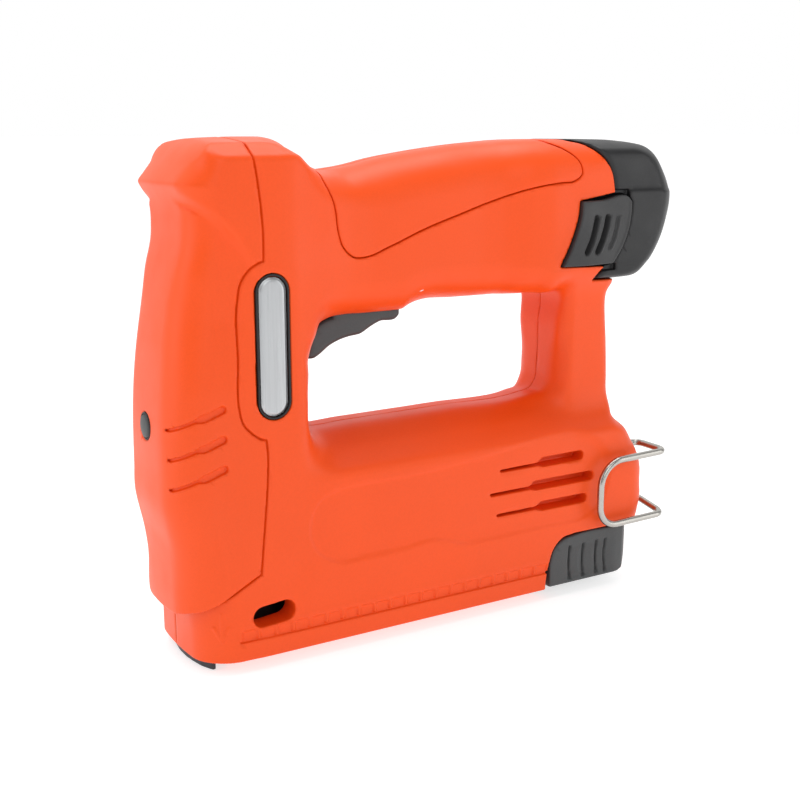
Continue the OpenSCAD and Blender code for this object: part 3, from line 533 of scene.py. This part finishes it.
class Part:
    """A box of the shared grid, with the side-view maps cut to it."""

    def __init__(self, x0, x1, y0, y1, z0, z1):
        i = [max(0, int((a - o) / CELL)) for a, o in ((x0, X0), (y0, Y0), (z0, Z0))]
        j = [min(n, int(math.ceil((a - o) / CELL)) + 1) for a, o, n in
             ((x1, X0, NX), (y1, Y0, NY), (z1, Z0, NZ))]
        self.cut = (slice(i[0], j[0]), slice(i[2], j[2]))
        self.origin = (X0 + CELL * i[0], Y0 + CELL * i[1], Z0 + CELL * i[2])
        self.y = GY[i[1]:j[1]][None, :, None]
        self.x = GX[i[0]:j[0]][:, :, None]
        self.z = GZ[:, i[2]:j[2]][:, None, :]

    def map(self, a):
        return a[self.cut][:, None, :]

    def skin(self, side_map, inset=0.0):
        """Outer surface of the whole body, with the head's chamfers; inset moves it inwards."""
        y = np.abs(self.y)
        f = meet(self.map(side_map) + self.map(CROWN) * y * y,
                 (y - self.map(HALF)) / self.map(SLOPE), self.map(RADIUS))
        chamfer = 0.61 * (y - 25) + 0.79 * (self.z - 161.9)
        crown = 0.10 * y + 0.995 * (self.z - 168.2)
        shoulder = 0.6 * (self.x - 31.7 + 0.035 * np.minimum(y, 14) ** 2) + 0.797 * (self.z - 168.2)
        shoulder = join(shoulder, self.z - 157.4 - 14 * ease(47, 72, self.x), 3.0)
        f = meet(f, meet(chamfer, crown, 0.6), 1.0)
        return meet(f, shoulder, 3.0) + inset


WALL = 2.4          # thickness of the mouldings
GAP = 0.18          # half the joint line between two mouldings
PIVOT = (81, 117.8)  # x and z of the trigger's pin
BUTTON_Z = 77       # height of the front button's axis
LATCH_PEG = (150, 132)  # x and z of the peg and spring behind each latch

# region of the front cover: everything in front of this line
cover_line = [(-30, 14.6), (-10.9, 15), (-9.9, 16.1), (-8.3, 17), (-5, 18.1), (-1.9, 19.5),
              (2.4, 21.9), (7, 24.5), (14.7, 28.8), (15.8, 40), (16.9, 51), (17.7, 61),
              (17.9, 69), (17.6, 73.6), (15.6, 74.2), (12.4, 76.6), (9.9, 79.8), (8.9, 84),
              (9.2, 100.5), (9.9, 119), (10.8, 123.6), (13.2, 127.5), (16, 129.8), (18, 130.4),
              (18.1, 138.5), (17.5, 147.6), (16.4, 156.6), (15.3, 163.4), (14.4, 180)]
cover_map = outline(np.concatenate([curve(cover_line, sharp=(8, 13, 23), closed=False, step=1.0),
                                    [(-60, 180), (-60, 14.6)]]), GX, GZ)
grip_line = [(36.8, 159.4), (39.3, 157.8), (42.7, 152.7), (44.7, 148.5), (46, 143.7),
             (46.6, 138.9), (49, 132.4), (53.6, 128.9), (58.3, 128.8), (67.2, 131.7),
             (81.4, 137.1), (95.8, 141.6), (110.6, 146.1), (126.2, 150.1), (136, 151.4),
             (141.4, 151.8), (145, 154.4), (144.6, 158.6), (140, 163), (134, 166.2), (128, 172),
             (36, 172)]
grip_map = outline(curve(grip_line, sharp=(0, 20, 21), step=1.0), GX, GZ)
pack_line = [(150.6, 164.7), (155.6, 160.2), (159.2, 154.1), (160.7, 147.4), (152, 146.0),
             (144.4, 144.8), (144.0, 139.8), (142.3, 134), (139.9, 128.3), (136.2, 121.6),
             (147, 121.1), (157.4, 120.9), (155.4, 118.6), (153.9, 115.5), (168, 115.3),
             (200, 115.3), (200, 180), (143.6, 180), (143.8, 166.9)]
pack_map = outline(curve(pack_line, sharp=(3, 5, 9, 11, 13, 14, 15, 16, 17), step=1.0), GX, GZ)
foot_map = outline(curve([(132.6, -20), (132.6, 9), (135.2, 15.9), (138.7, 18.9), (144.6, 19.9),
                          (190, 19.9), (190, -20)], sharp=(0, 4, 5, 6)), GX, GZ)

BADGE = (20.8, 103.2, 5.0, 17.5)
badge_map = tapered([(BADGE[0], BADGE[1] - BADGE[3]), (BADGE[0], BADGE[1] + BADGE[3])],
                    [BADGE[2]] * 2, GX, GZ)

vents = [((110, 49.5), (126.4, 49.6), (129.4, 50.1), (146.6, 50.2)),
         ((105.7, 41), (122.8, 41.1), (125.8, 41.6), (151.6, 41.6)),
         ((108.9, 32.8), (126, 32.9), (129, 33.3), (148.6, 33.3))]
vent_map = np.minimum.reduce([tapered(v, (0.55, 0.6, 1.85, 1.85), GX, GZ) for v in vents])
slot_map = tapered([(15.2, 13.9), (22.8, 14.7)], [3.7, 3.7], GX, GZ)

grooves = [((-11.8, 78.7 - 9.6 * i), (-5.2, 82.0 - 9.6 * i), (-3.2, 82.6 - 9.6 * i),
            (3.2, 84.9 - 9.6 * i))
           for i in range(3)]
groove_map = np.minimum.reduce([tapered(g, (0.5, 0.55, 1.25, 1.25), GX, GZ) for g in grooves])

pod_line = [(146.4, 58.4), (151.7, 56), (157.3, 51.4), (160, 45.4), (159.6, 36), (156.8, 30),
            (153, 27.2), (147.8, 25.3), (137.3, 25), (121, 25), (103.5, 24.7), (93.5, 25.2),
            (88.5, 26.9), (82.9, 28.6), (68.5, 27.8), (55.5, 27.6), (42.5, 28), (36.2, 31.6),
            (32.9, 37.4), (32.9, 44), (35.9, 49.7), (40.8, 52.3), (49.8, 53.6), (63.3, 53.8),
            (79.1, 54.2), (100, 56), (124.1, 58.3), (136, 59)]
pod_map = outline(curve(pod_line), GX, GZ)

ladder_map = np.maximum(np.abs(GX - 70) - 63, np.abs(GZ - 8.5) - 1.7)
bars = np.abs(np.mod(GX - 7.0, 6.26) - 3.13) - 2.62
ladder_deep = (0.5 + 0.15 * (10.2 - GZ)) * ease(0.3, -0.3, bars)
seam_map = tapered([(6.5, 6.6), (132.6, 6.6)], [0.3, 0.36], GX, GZ)
arrow_map = np.minimum(tapered([(1.0, 7.4), (1.0, 17.0)], [0.3, 0.3], GX, GZ),
                       tapered([(-1.2, 12.2), (1.0, 7.4), (3.2, 12.2)], [0.3, 0.3, 0.3], GX, GZ))

NOSE = [(0.6, -17.4), (-0.6, -17.4), (-1.6, -15.4), (-2.8, -12.4), (-3.8, -7.4), (-4.4, -2.4),
        (-4.4, 2.4), (-3.8, 7.4), (-2.8, 12.4), (-1.6, 15.4), (-0.6, 17.4), (0.6, 17.4)]
offset_nose = [(5.2, -17.9), (-0.9, -17.9), (-2.1, -15.6), (-3.3, -12.5), (-4.3, -7.5),
               (-4.9, -2.4), (-4.9, 2.4), (-4.3, 7.5), (-3.3, 12.5), (-2.1, 15.6), (-0.9, 17.9),
               (5.2, 17.9)]
STEM = [(-14.9, 161.9), (14.9, 161.9), (20, 155.9), (20, 139), (11.9, 139), (11.9, 118.1),
        (-11.9, 118.1), (-11.9, 139), (-20, 139), (-20, 155.9)]
STEM_IN = [(-14.5, 161.5), (14.5, 161.5), (19.6, 155.5), (19.6, 139.4), (11.5, 139.4),
           (11.5, 118.5), (-11.5, 118.5), (-11.5, 139.4), (-19.6, 139.4), (-19.6, 155.5)]


def housing(right):
    """One half of the body, its grip seat, pockets, vents, lips and screw bosses."""
    p = Part(-10, 184, -26.1 if right else -0.6, 0.6 if right else 26.1, -2, 170)
    y = np.abs(p.y)
    f = p.skin(side_body)
    # soft relief of the pod, the vents' panel and the rim under the hand opening
    near = (y > 12).astype(F32)
    pod = p.map(pod_map)
    corner = p.map(ease(112, 150, GX) * ease(36, 52, GZ))
    f = f + near * (0.6 + 0.5 * corner) * ease(0.9, -0.9, pod / (1 + 1.7 * corner))
    outer = f
    f = meet(f, -p.z - 0.3, 0.6)
    # pockets
    f = cut(f, np.maximum(p.map(grip_map), -(outer + 1.5)), 0.35)
    f = cut(f, np.maximum(p.map(badge_map) - 0.95, -(outer + 1.5)), 0.3)
    f = cut(f, np.maximum(p.map(ladder_map), -(outer + p.map(ladder_deep))), 0.12)
    f = cut(f, np.maximum(p.map(seam_map), -(outer + 1.0)), 0.12)
    f = join(f, np.maximum(p.map(arrow_map) - 0.1, outer - 0.3), 0.12)
    # inside: walls, thicker round the vents and the staple slot, open at the pack and the sole
    vent_pad = np.maximum(np.abs(p.x - 129) - 27, np.abs(p.z - 41) - 13)
    slot_pad = np.maximum(np.abs(p.x - 20) - 12, np.abs(p.z - 13.5) - 8)
    inner = outer + WALL + 5.8 * ease(1.5, -1.5, vent_pad) + 6.5 * ease(1.2, -1.2, slot_pad) \
        + 1.4 * ease(3.0, 0.8, p.map(grip_map))
    inner = np.maximum(inner, 2.4 - p.z)
    f = cut(f, inner, 0.3)
    f = cut(f, np.maximum(p.map(vent_map), -(outer + 6.2)), 0.2)
    f = cut(f, p.map(slot_map), 0.5)
    # way of the trigger, the magazine and the nose
    f = cut(f, most(np.abs(p.x - 56.8) - 20.8, y - 8.5, np.abs(p.z - 105) - 15.4), 0.3)
    f = cut(f, most(np.abs(p.x - 57.2) - 21.2, y - 8.5, np.abs(p.z - 116.2) - 4.6), 0.3)
    f = cut(f, most(np.abs(p.x - 69.5) - 64.5, y - 10.2, p.z - 3.4), 0.2)
    f = cut(f, most(plan(offset_nose, p.x, p.y), p.z - 3), 0.2)
    f = cut(f, most(np.abs(p.x - 134) - 6, y - 7.6, p.z - 18.9), 0.2)
    # lip behind the cover's edge, and the cover's own room
    region = p.map(cover_map)
    lip = most(outer + 1.0, -(outer + WALL), -(region + 2.4), 2 - p.z)
    f = np.minimum(cut(f, region - GAP, 0.55), np.maximum(lip, region - 3))
    # bosses, then the halves' seam
    for sx, sz, seat in ((27, 157, 19), (28.6, 96, 19), (64, 64.6, 12), (118, 119.5, 13),
                         (156, 97, 9), (164, 27.5, 19)):
        post = np.hypot(p.x - sx, p.z - sz) - 3.5
        f = np.minimum(f, np.maximum(post, outer + 1.0))
        if not right:
            f = cut(f, np.maximum(np.hypot(p.x - sx, p.z - sz) - 3.2, seat - 2.4 - y), 0.35)
    pin = np.maximum(np.hypot(p.x - PIVOT[0], p.z - PIVOT[1]) - 4, 8.6 - y)
    f = np.minimum(f, np.maximum(pin, outer + 1.0))
    # room of the pack, its latches and the magazine's handle
    f = cut(f, p.map(pack_map) - GAP, 0.3)
    f = cut(f, np.maximum(p.map(foot_map) - 0.15, -5 + 0 * y), 0.35)
    stem = plan(STEM, p.y, p.z)
    f = cut(f, most(stem, 146 - p.x, p.x - 175), 0.2)
    f = np.maximum(f, 0.03 - y)
    name = "housing_right" if right else "housing_left"
    return solid("piece_" + name, f, p.origin, CELL, "orange_plastic", "body", (name,), adapt=0.02)


def cover():
    p = Part(-16, 20, -26.1, 26.1, 12, 170)
    outer = p.skin(side_cover)
    region = p.map(cover_map)
    f = cut(outer, np.maximum(p.map(groove_map), -(outer + 1.15)), 0.25)
    thin = mix(0.8, WALL, ease(-2.2, -3.4, region))
    f = cut(f, outer + thin, 0.2)
    f = meet(f, region + GAP, 0.6)
    f = cut(f, np.maximum(np.hypot(p.y, p.z - BUTTON_Z) - 4.6, p.x + 8), 0.3)
    solid("piece_front_cover", f, p.origin, CELL, "orange_plastic", "body", ("front_cover",),
          adapt=0.02)


def grip(right):
    p = Part(34, 148, -26.1 if right else -0.6, 0.6 if right else 26.1, 126, 170)
    y = np.abs(p.y)
    outer = p.skin(side_body)
    f = meet(outer, p.map(grip_map) + 0.35, 0.5)
    f = np.maximum(f, -(outer + 1.4))
    f = meet(f, 0.04 - y, 0.15)
    name = "grip_insert_right" if right else "grip_insert_left"
    solid("piece_" + name, f, p.origin, CELL, "orange_plastic", "body", (name,), adapt=0.01)


for right in (True, False):
    housing(right)
    grip(right)
cover()


# ---------------------------------------------------------------- pack, latches, lever, handle

LATCH = [(144.5, 144.7), (144.2, 139.6), (142.5, 133.9), (140.1, 128.1), (136.4, 121.6),
         (147, 121.5), (160.2, 121.7), (164.6, 127.4), (167.4, 133.4), (168.8, 139.8),
         (168.9, 144), (167.6, 145.4), (154, 145.0)]
latch_line = curve(LATCH, sharp=(0, 4, 6, 10), step=1.0)
latch_grooves = [(((151.2, 138.6), (150.4, 135), (149, 130.6), (146.9, 126.4)), 0.85, 2.3),
                 (((156.6, 138.8), (155.8, 135), (154.2, 130.6), (152, 126.4)), 0.85, 2.3),
                 (((161.6, 138.6), (161, 135), (159.8, 131), (157.8, 127.4)), 0.45, 0.6)]


def pack():
    """Battery cap with its stem: crowned top, proud middle band, rooms for the latches."""
    origin, x, y, z = cells(132, 196, -24, 24, 113, 168, 0.6)
    w = np.abs(y)
    cap_line = [(143.8, 166.7), (150.6, 164.7), (155.6, 160.2), (159.2, 154.1), (160.9, 147.4),
                (161, 130), (161, 121.6), (157.9, 120.7), (156, 118.5), (154.6, 115.5),
                (166.5, 115.3), (176.2, 116.3), (183.5, 120), (190.4, 128), (193.5, 135.9),
                (194.7, 144.4), (194.0, 150.2), (190.2, 157), (184.7, 162.3), (177, 164.9),
                (168.5, 166.1), (156, 166.6)]
    cap_side = plan(curve(cap_line, sharp=(0, 4, 6, 7, 9)), x, z)
    half = (21.7 + 0.35 * ease(151, 161, z) + 0.75 * ease(148.7, 147.3, z)
            - 0.45 * ease(147.2, 137, z) - 0.3 * ease(121.8, 120.4, z) + 0 * x)
    rear = ease(166, 190, x)
    round_edge = 2.2 + 11 * rear
    f = meet(cap_side, w - half, round_edge)
    f = meet(f, 0.47 * (w - 22) + 0.883 * (z - 162.4), 2.2)
    f = meet(f, 0.45 * (w - 21) - 0.893 * (z - 116.4), 2.0)
    stem = np.maximum(plan(STEM_IN, y, z), np.abs(x - 149.5) - 16.5)
    f = join(f, meet(stem, 133 - x, 0.8), 0.3)
    f = np.maximum(f, -np.maximum(f + 2.0, w - 17.7))
    room = plan(latch_line, x, z) - 0.3
    f = cut(f, np.maximum(room, 18.9 - w), 0.3)
    f = cut(f, np.maximum(np.hypot(x - LATCH_PEG[0], z - LATCH_PEG[1]) - 2.7, 16.8 - w), 0.2)
    f = cut(f, most(np.abs(x - 159) - 8.8, np.abs(z - 146.9) - 1.6, 20.2 - w), 0.35)
    f = cut(f, most(np.abs(x - 155) - 7.6, np.abs(z - 120.3) - 1.2, 19.8 - w), 0.35)
    f = cut(f, most(x - 136, w - 9, np.abs(z - 145.5) - 3.5), 0.3)
    solid("piece_battery_case", f, origin, 0.6, "black_plastic", "battery", ("battery_case",),
          adapt=0.01)


def latch():
    origin, x, y, z = cells(134, 169, -24.6, -18, 119, 147, 0.35)
    edge = plan(latch_line, x, z)
    face = -24.0 + 0.075 * np.maximum(x - 148, 0) - 0.2 * ease(-1.8, -0.8, edge) * ease(158, 163, x)
    for line, width, depth in latch_grooves:
        track = plan_line(line, width, x, z)
        lip = plan_line([(a + width + 0.75, b) for a, b in line], 0.2, x, z)
        face = face + depth * ease(0.5, -0.7, track) - 0.5 * ease(0.8, -0.4, lip)
    f = meet(edge, face - y, 0.55)
    f = np.maximum(f, y + 20.7)
    peg = np.maximum(np.hypot(x - LATCH_PEG[0], z - LATCH_PEG[1]) - 1.2, np.abs(y + 20) - 1.2)
    f = np.minimum(f, peg)
    solid("piece_latch_right", f, origin, 0.35, "latch_grey", "latch_right", ("latch_right",),
          adapt=0.01)
    solid("piece_latch_left", f, origin, 0.35, "latch_grey", "latch_left", ("latch_left",),
          adapt=0.01, mirror=True)


def lever():
    origin, x, y, z = cells(38, 87, -8.6, 8.6, 93, 123, 0.45)
    finger = curve([(41, 94.9), (41.6, 99), (43, 103.1), (45.2, 106), (48.2, 107.6),
                    (50.7, 108.2), (50.7, 113), (77.2, 113), (77.3, 107.2), (76.3, 106.1),
                    (69.7, 105.4), (65.7, 103.7), (62, 101.7), (57.6, 101.1), (53.7, 100.2),
                    (49.7, 98.5), (45.8, 95.8), (43.9, 94.8)],
                   sharp=(0, 5, 6, 7, 8), step=0.8)
    arm = [(50.7, 110), (50.7, 113), (54, 121), (62, 121), (81, 121.2), (83.4, 120.2),
           (84.3, 117.8), (83.4, 115.4), (81, 114.5), (78.6, 113.8), (77.2, 110)]
    low = meet(plan(finger, x, z) - 0.3, np.abs(y) - 8, 2.2)
    f = np.minimum(low, meet(plan(arm, x, z), np.abs(y) - 8, 0.6))
    f = cut(f, np.hypot(x - PIVOT[0], z - PIVOT[1]) - 2.05, 0.2)
    f = cut(f, np.maximum(np.hypot(np.maximum(np.abs(x - 47.1) - 1.1, 0), y) - 3.2, 99 - z), 0.2)
    solid("piece_trigger", f, origin, 0.45, "dark_grey_plastic", "trigger", ("trigger",),
          adapt=0.01)


def drawer_end():
    """Handle of the magazine: stepped grips on both sides, rounded rear corners."""
    origin, x, y, z = cells(132.2, 175, -25.6, 25.6, -0.4, 20.2, 0.5)
    w = np.abs(y)
    line = curve([(133.1, 0.2), (133.1, 9.6), (135.4, 15.3), (139.2, 18.1), (144.8, 19.1),
                  (174.2, 19.1), (174.0, 12), (173, 5.2), (170.4, 1.3), (167, 0.2)],
                 sharp=(0, 1, 5, 9), step=0.8)
    edges = (142, 148.6, 155, 159.3, 164)
    depth = 0 * x
    for a, b in zip(edges, edges[1:]):
        depth = depth + (0.95 * (1 - (x - a) / (b - a)) * (x >= a) * (x < b))
    for a in edges[:-1]:
        depth = depth + 1.0 * ease(0.75, 0.35, np.abs(x - a - 0.3 - 0.02 * (z - 9) ** 2))
    depth = depth * ease(1.0, 2.2, z) * ease(15.8, 14.4, z)
    f = meet(plan(line, x, z), w - 25 + depth, 0.9)
    f = meet(f, plan([(133, -25.1), (165, -25.1), (169.4, -24), (173.2, -20.8), (174.5, -16),
                      (174.9, 0), (174.5, 16), (173.2, 20.8), (169.4, 24), (165, 25.1),
                      (133, 25.1)], x, y), 0.8)
    f = cut(f, most(np.abs(x - 151.3) - 14.7, w - 21.5, np.abs(z - 9.9) - 6.5), 0.3)
    solid("piece_magazine_handle", f, origin, 0.5, "dark_grey_plastic", "magazine",
          ("magazine_handle",), adapt=0.01)


def nose():
    origin, x, y, z = cells(-7.6, 1.4, -18, 18, -4.6, 22, 0.4)
    tip = meet(plan(NOSE, x, y), np.abs(z + 2.3) - 1.7, 0.5)
    plate = most(np.abs(x + 3.2) - 0.7, np.abs(y) - 7, np.abs(z - 10.2) - 10.8)
    flange = most(np.abs(x + 4.75) - 2.25, np.abs(y) - 12, np.abs(z - 20.3) - 0.7)
    f = np.minimum(np.minimum(tip, plate), flange)
    f = cut(f, most(np.abs(x) - 1.6, np.abs(y) - 6.6, z), 0.2)
    solid("piece_contact_nose", f, origin, 0.4, "dark_steel", "contact_nose", ("contact_nose",),
          adapt=0.01)


def button():
    origin, x, y, z = cells(-15.2, -8, -5.4, 5.4, 71.6, 82.4, 0.25)
    r = np.hypot(y, z - BUTTON_Z)
    cap = meet(r - 3.9, -14.6 + 0.03 * r * r - x, 0.7)
    cap = np.maximum(cap, x + 9.6)
    f = np.minimum(cap, np.maximum(r - 4.5, np.abs(x + 9.1) - 0.5))
    solid("piece_front_button", f, origin, 0.25, "dark_grey_plastic", "front_button",
          ("front_button",), adapt=0.01)
    ring = meet(meet(r - 4.55, 4.02 - r, 0.15), np.abs(x + 12) - 1.85, 0.2)
    solid("piece_button_bezel", ring, origin, 0.25, "black_plastic", "body", ("button_bezel",))


def badge():
    origin, x, y, z = cells(13.8, 27.8, -25.8, -23.2, 78.8, 127.6, 0.3)
    d = plan_line([(BADGE[0], BADGE[1] - BADGE[3]), (BADGE[0], BADGE[1] + BADGE[3])], BADGE[2], x,
                  z)
    bevel = -24.95 + 0.5 * ease(-1.7, -0.1, d) + 0.0025 * (x - BADGE[0]) ** 2
    plate = most(d + 0.1, bevel - y, y + 24.2)
    solid("piece_badge_plates", plate, origin, 0.3, "badge_silver", "body", ("badge_plates",),
          twin=True)
    ring = meet(meet(d - 0.75, -d, 0.1), np.abs(y + 24.2) - 0.75, 0.25)
    solid("piece_badge_frames", ring, origin, 0.3, "black_plastic", "body", ("badge_frames",),
          twin=True)


def wire_path(corners):
    """Points along a bent wire: straight runs with a bend of the given radius at each corner."""
    out = [np.array(corners[0][0], float)]
    for (a, _), (b, r), (c, _) in zip(corners[:-2], corners[1:-1], corners[2:]):
        a, b, c = (np.array(v, float) for v in (a, b, c))
        u, v = (a - b) / np.linalg.norm(a - b), (c - b) / np.linalg.norm(c - b)
        half = math.acos(float(np.clip(u @ v, -1, 1))) / 2
        middle = (u + v) / np.linalg.norm(u + v)
        centre = b + middle * (r / math.sin(half))
        start = b + u * (r / math.tan(half)) - centre
        end = b + v * (r / math.tan(half)) - centre
        sweep = math.pi - 2 * half
        for t in np.linspace(0, 1, max(6, int(sweep * r / 0.6) + 2)):
            out.append(centre + (start * math.sin((1 - t) * sweep) + end
                                 * math.sin(t * sweep)) / math.sin(sweep))
    out.append(np.array(corners[-1][0], float))
    return np.array(out)


def wire(name, path, radius, slot, body, nodes, sides=20, twin=False):
    """A round wire with domed ends along a path in millimetres."""
    step = np.gradient(path, axis=0)
    step /= np.linalg.norm(step, axis=1)[:, None]
    n = np.cross(step[0], (0.3, 0.5, 0.8))
    verts, faces = [], []
    rings = [(0, -0.95, 0.35), (0, -0.6, 0.8)] + [(i, 0, 1) for i in range(len(path))] \
        + [(-1, 0.6, 0.8), (-1, 0.95, 0.35)]
    for i, along, wide in rings:
        n = n - (n @ step[i]) * step[i]
        n /= np.linalg.norm(n)
        b = np.cross(step[i], n)
        for k in range(sides):
            a = 2 * math.pi * k / sides
            p = path[i] + radius * (along * step[i] + wide * (math.cos(a) * n + math.sin(a) * b))
            verts.append(tuple(p * MM))
    for i in range(len(rings) - 1):
        for k in range(sides):
            a, b = i * sides + k, i * sides + (k + 1) % sides
            faces.append((a, b, b + sides, a + sides))
    faces.append(tuple(range(sides - 1, -1, -1)))
    faces.append(tuple((len(rings) - 1) * sides + k for k in range(sides)))
    if twin:
        faces += [tuple(k + len(verts) for k in reversed(face)) for face in faces]
        verts += [(x, -y, z) for x, y, z in verts]
    mesh = bpy.data.meshes.new(name)
    mesh.from_pydata(verts, [], faces)
    mesh.shade_smooth()
    piece = bpy.data.objects.new(name, mesh)
    bpy.context.scene.collection.objects.link(piece)
    return finish_piece(piece, slot, body, nodes)


def coil(node, start, axis, length, radius, turns, thick, body, fixed, twin=False):
    """A spring wound from start along an axis; its fixed end is worked out but not used."""
    t = np.linspace(0, 1, int(turns * 18) + 1)
    a = 2 * math.pi * turns * t
    path = np.tile(np.array(start, float), (len(t), 1))
    path[:, axis] += length * t
    path[:, (axis + 1) % 3] += radius * np.cos(a)
    path[:, (axis + 2) % 3] += radius * np.sin(a)
    piece = wire("piece_" + node, path, thick, "spring_steel", body, (node,), sides=10, twin=twin)
    anchor = np.array(start, float)
    anchor[axis] = fixed
    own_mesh(piece)


def springs():
    """Every spring that a moving piece presses, between its own seats."""
    low, high = (np.array(v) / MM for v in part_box("main_spring"))
    coil("main_spring", (12, 0, low[2] + 1.2), 2, high[2] - low[2] - 2.4, 7.6, 10, 1.2, "body",
         132)
    coil("contact_springs", (-4.9, 8.5, 21.3), 2, 14.4, 1.7, 7, 0.3, "body", 36,
         twin=True)
    coil("trigger_spring", (46, 0, 99.4), 2, 20, 2.2, 9, 0.35, "body", 120)
    low, high = (np.array(v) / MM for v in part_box("pusher_spring"))
    coil("pusher_spring", (low[0] + 0.3, 0, 10.6), 0, high[0] - low[0] - 0.6, 2.4, 14, 0.3,
         "magazine",
         127)
    coil("latch_spring_right", (150, -20.2, 132), 1, 2.9, 2, 2.5, 0.35, "battery",
         -16.9)
    coil("latch_spring_left", (150, 20.2, 132), 1, -2.9, 2, 2.5, 0.35, "battery",
         16.9)


springs()
pack()
latch()
lever()
drawer_end()
nose()
button()
badge()
wire("piece_belt_hook", wire_path([((176, -13, 48), 0), ((185, -13, 48), 3.5),
                                   ((185, -29.1, 48), 3.5),
                                   ((153.1, -29.1, 47.3), 10), ((153.1, -29.1, 22), 8),
                                   ((185, -29.1, 22.6), 3.5),
                                   ((185, -13, 25.6), 3.5), ((176, -13, 25.6), 0)]),
     1.3, "chrome_wire", "body", ("belt_hook",))

# ---------------------------------------------------------------- end

bpy.context.view_layer.update()
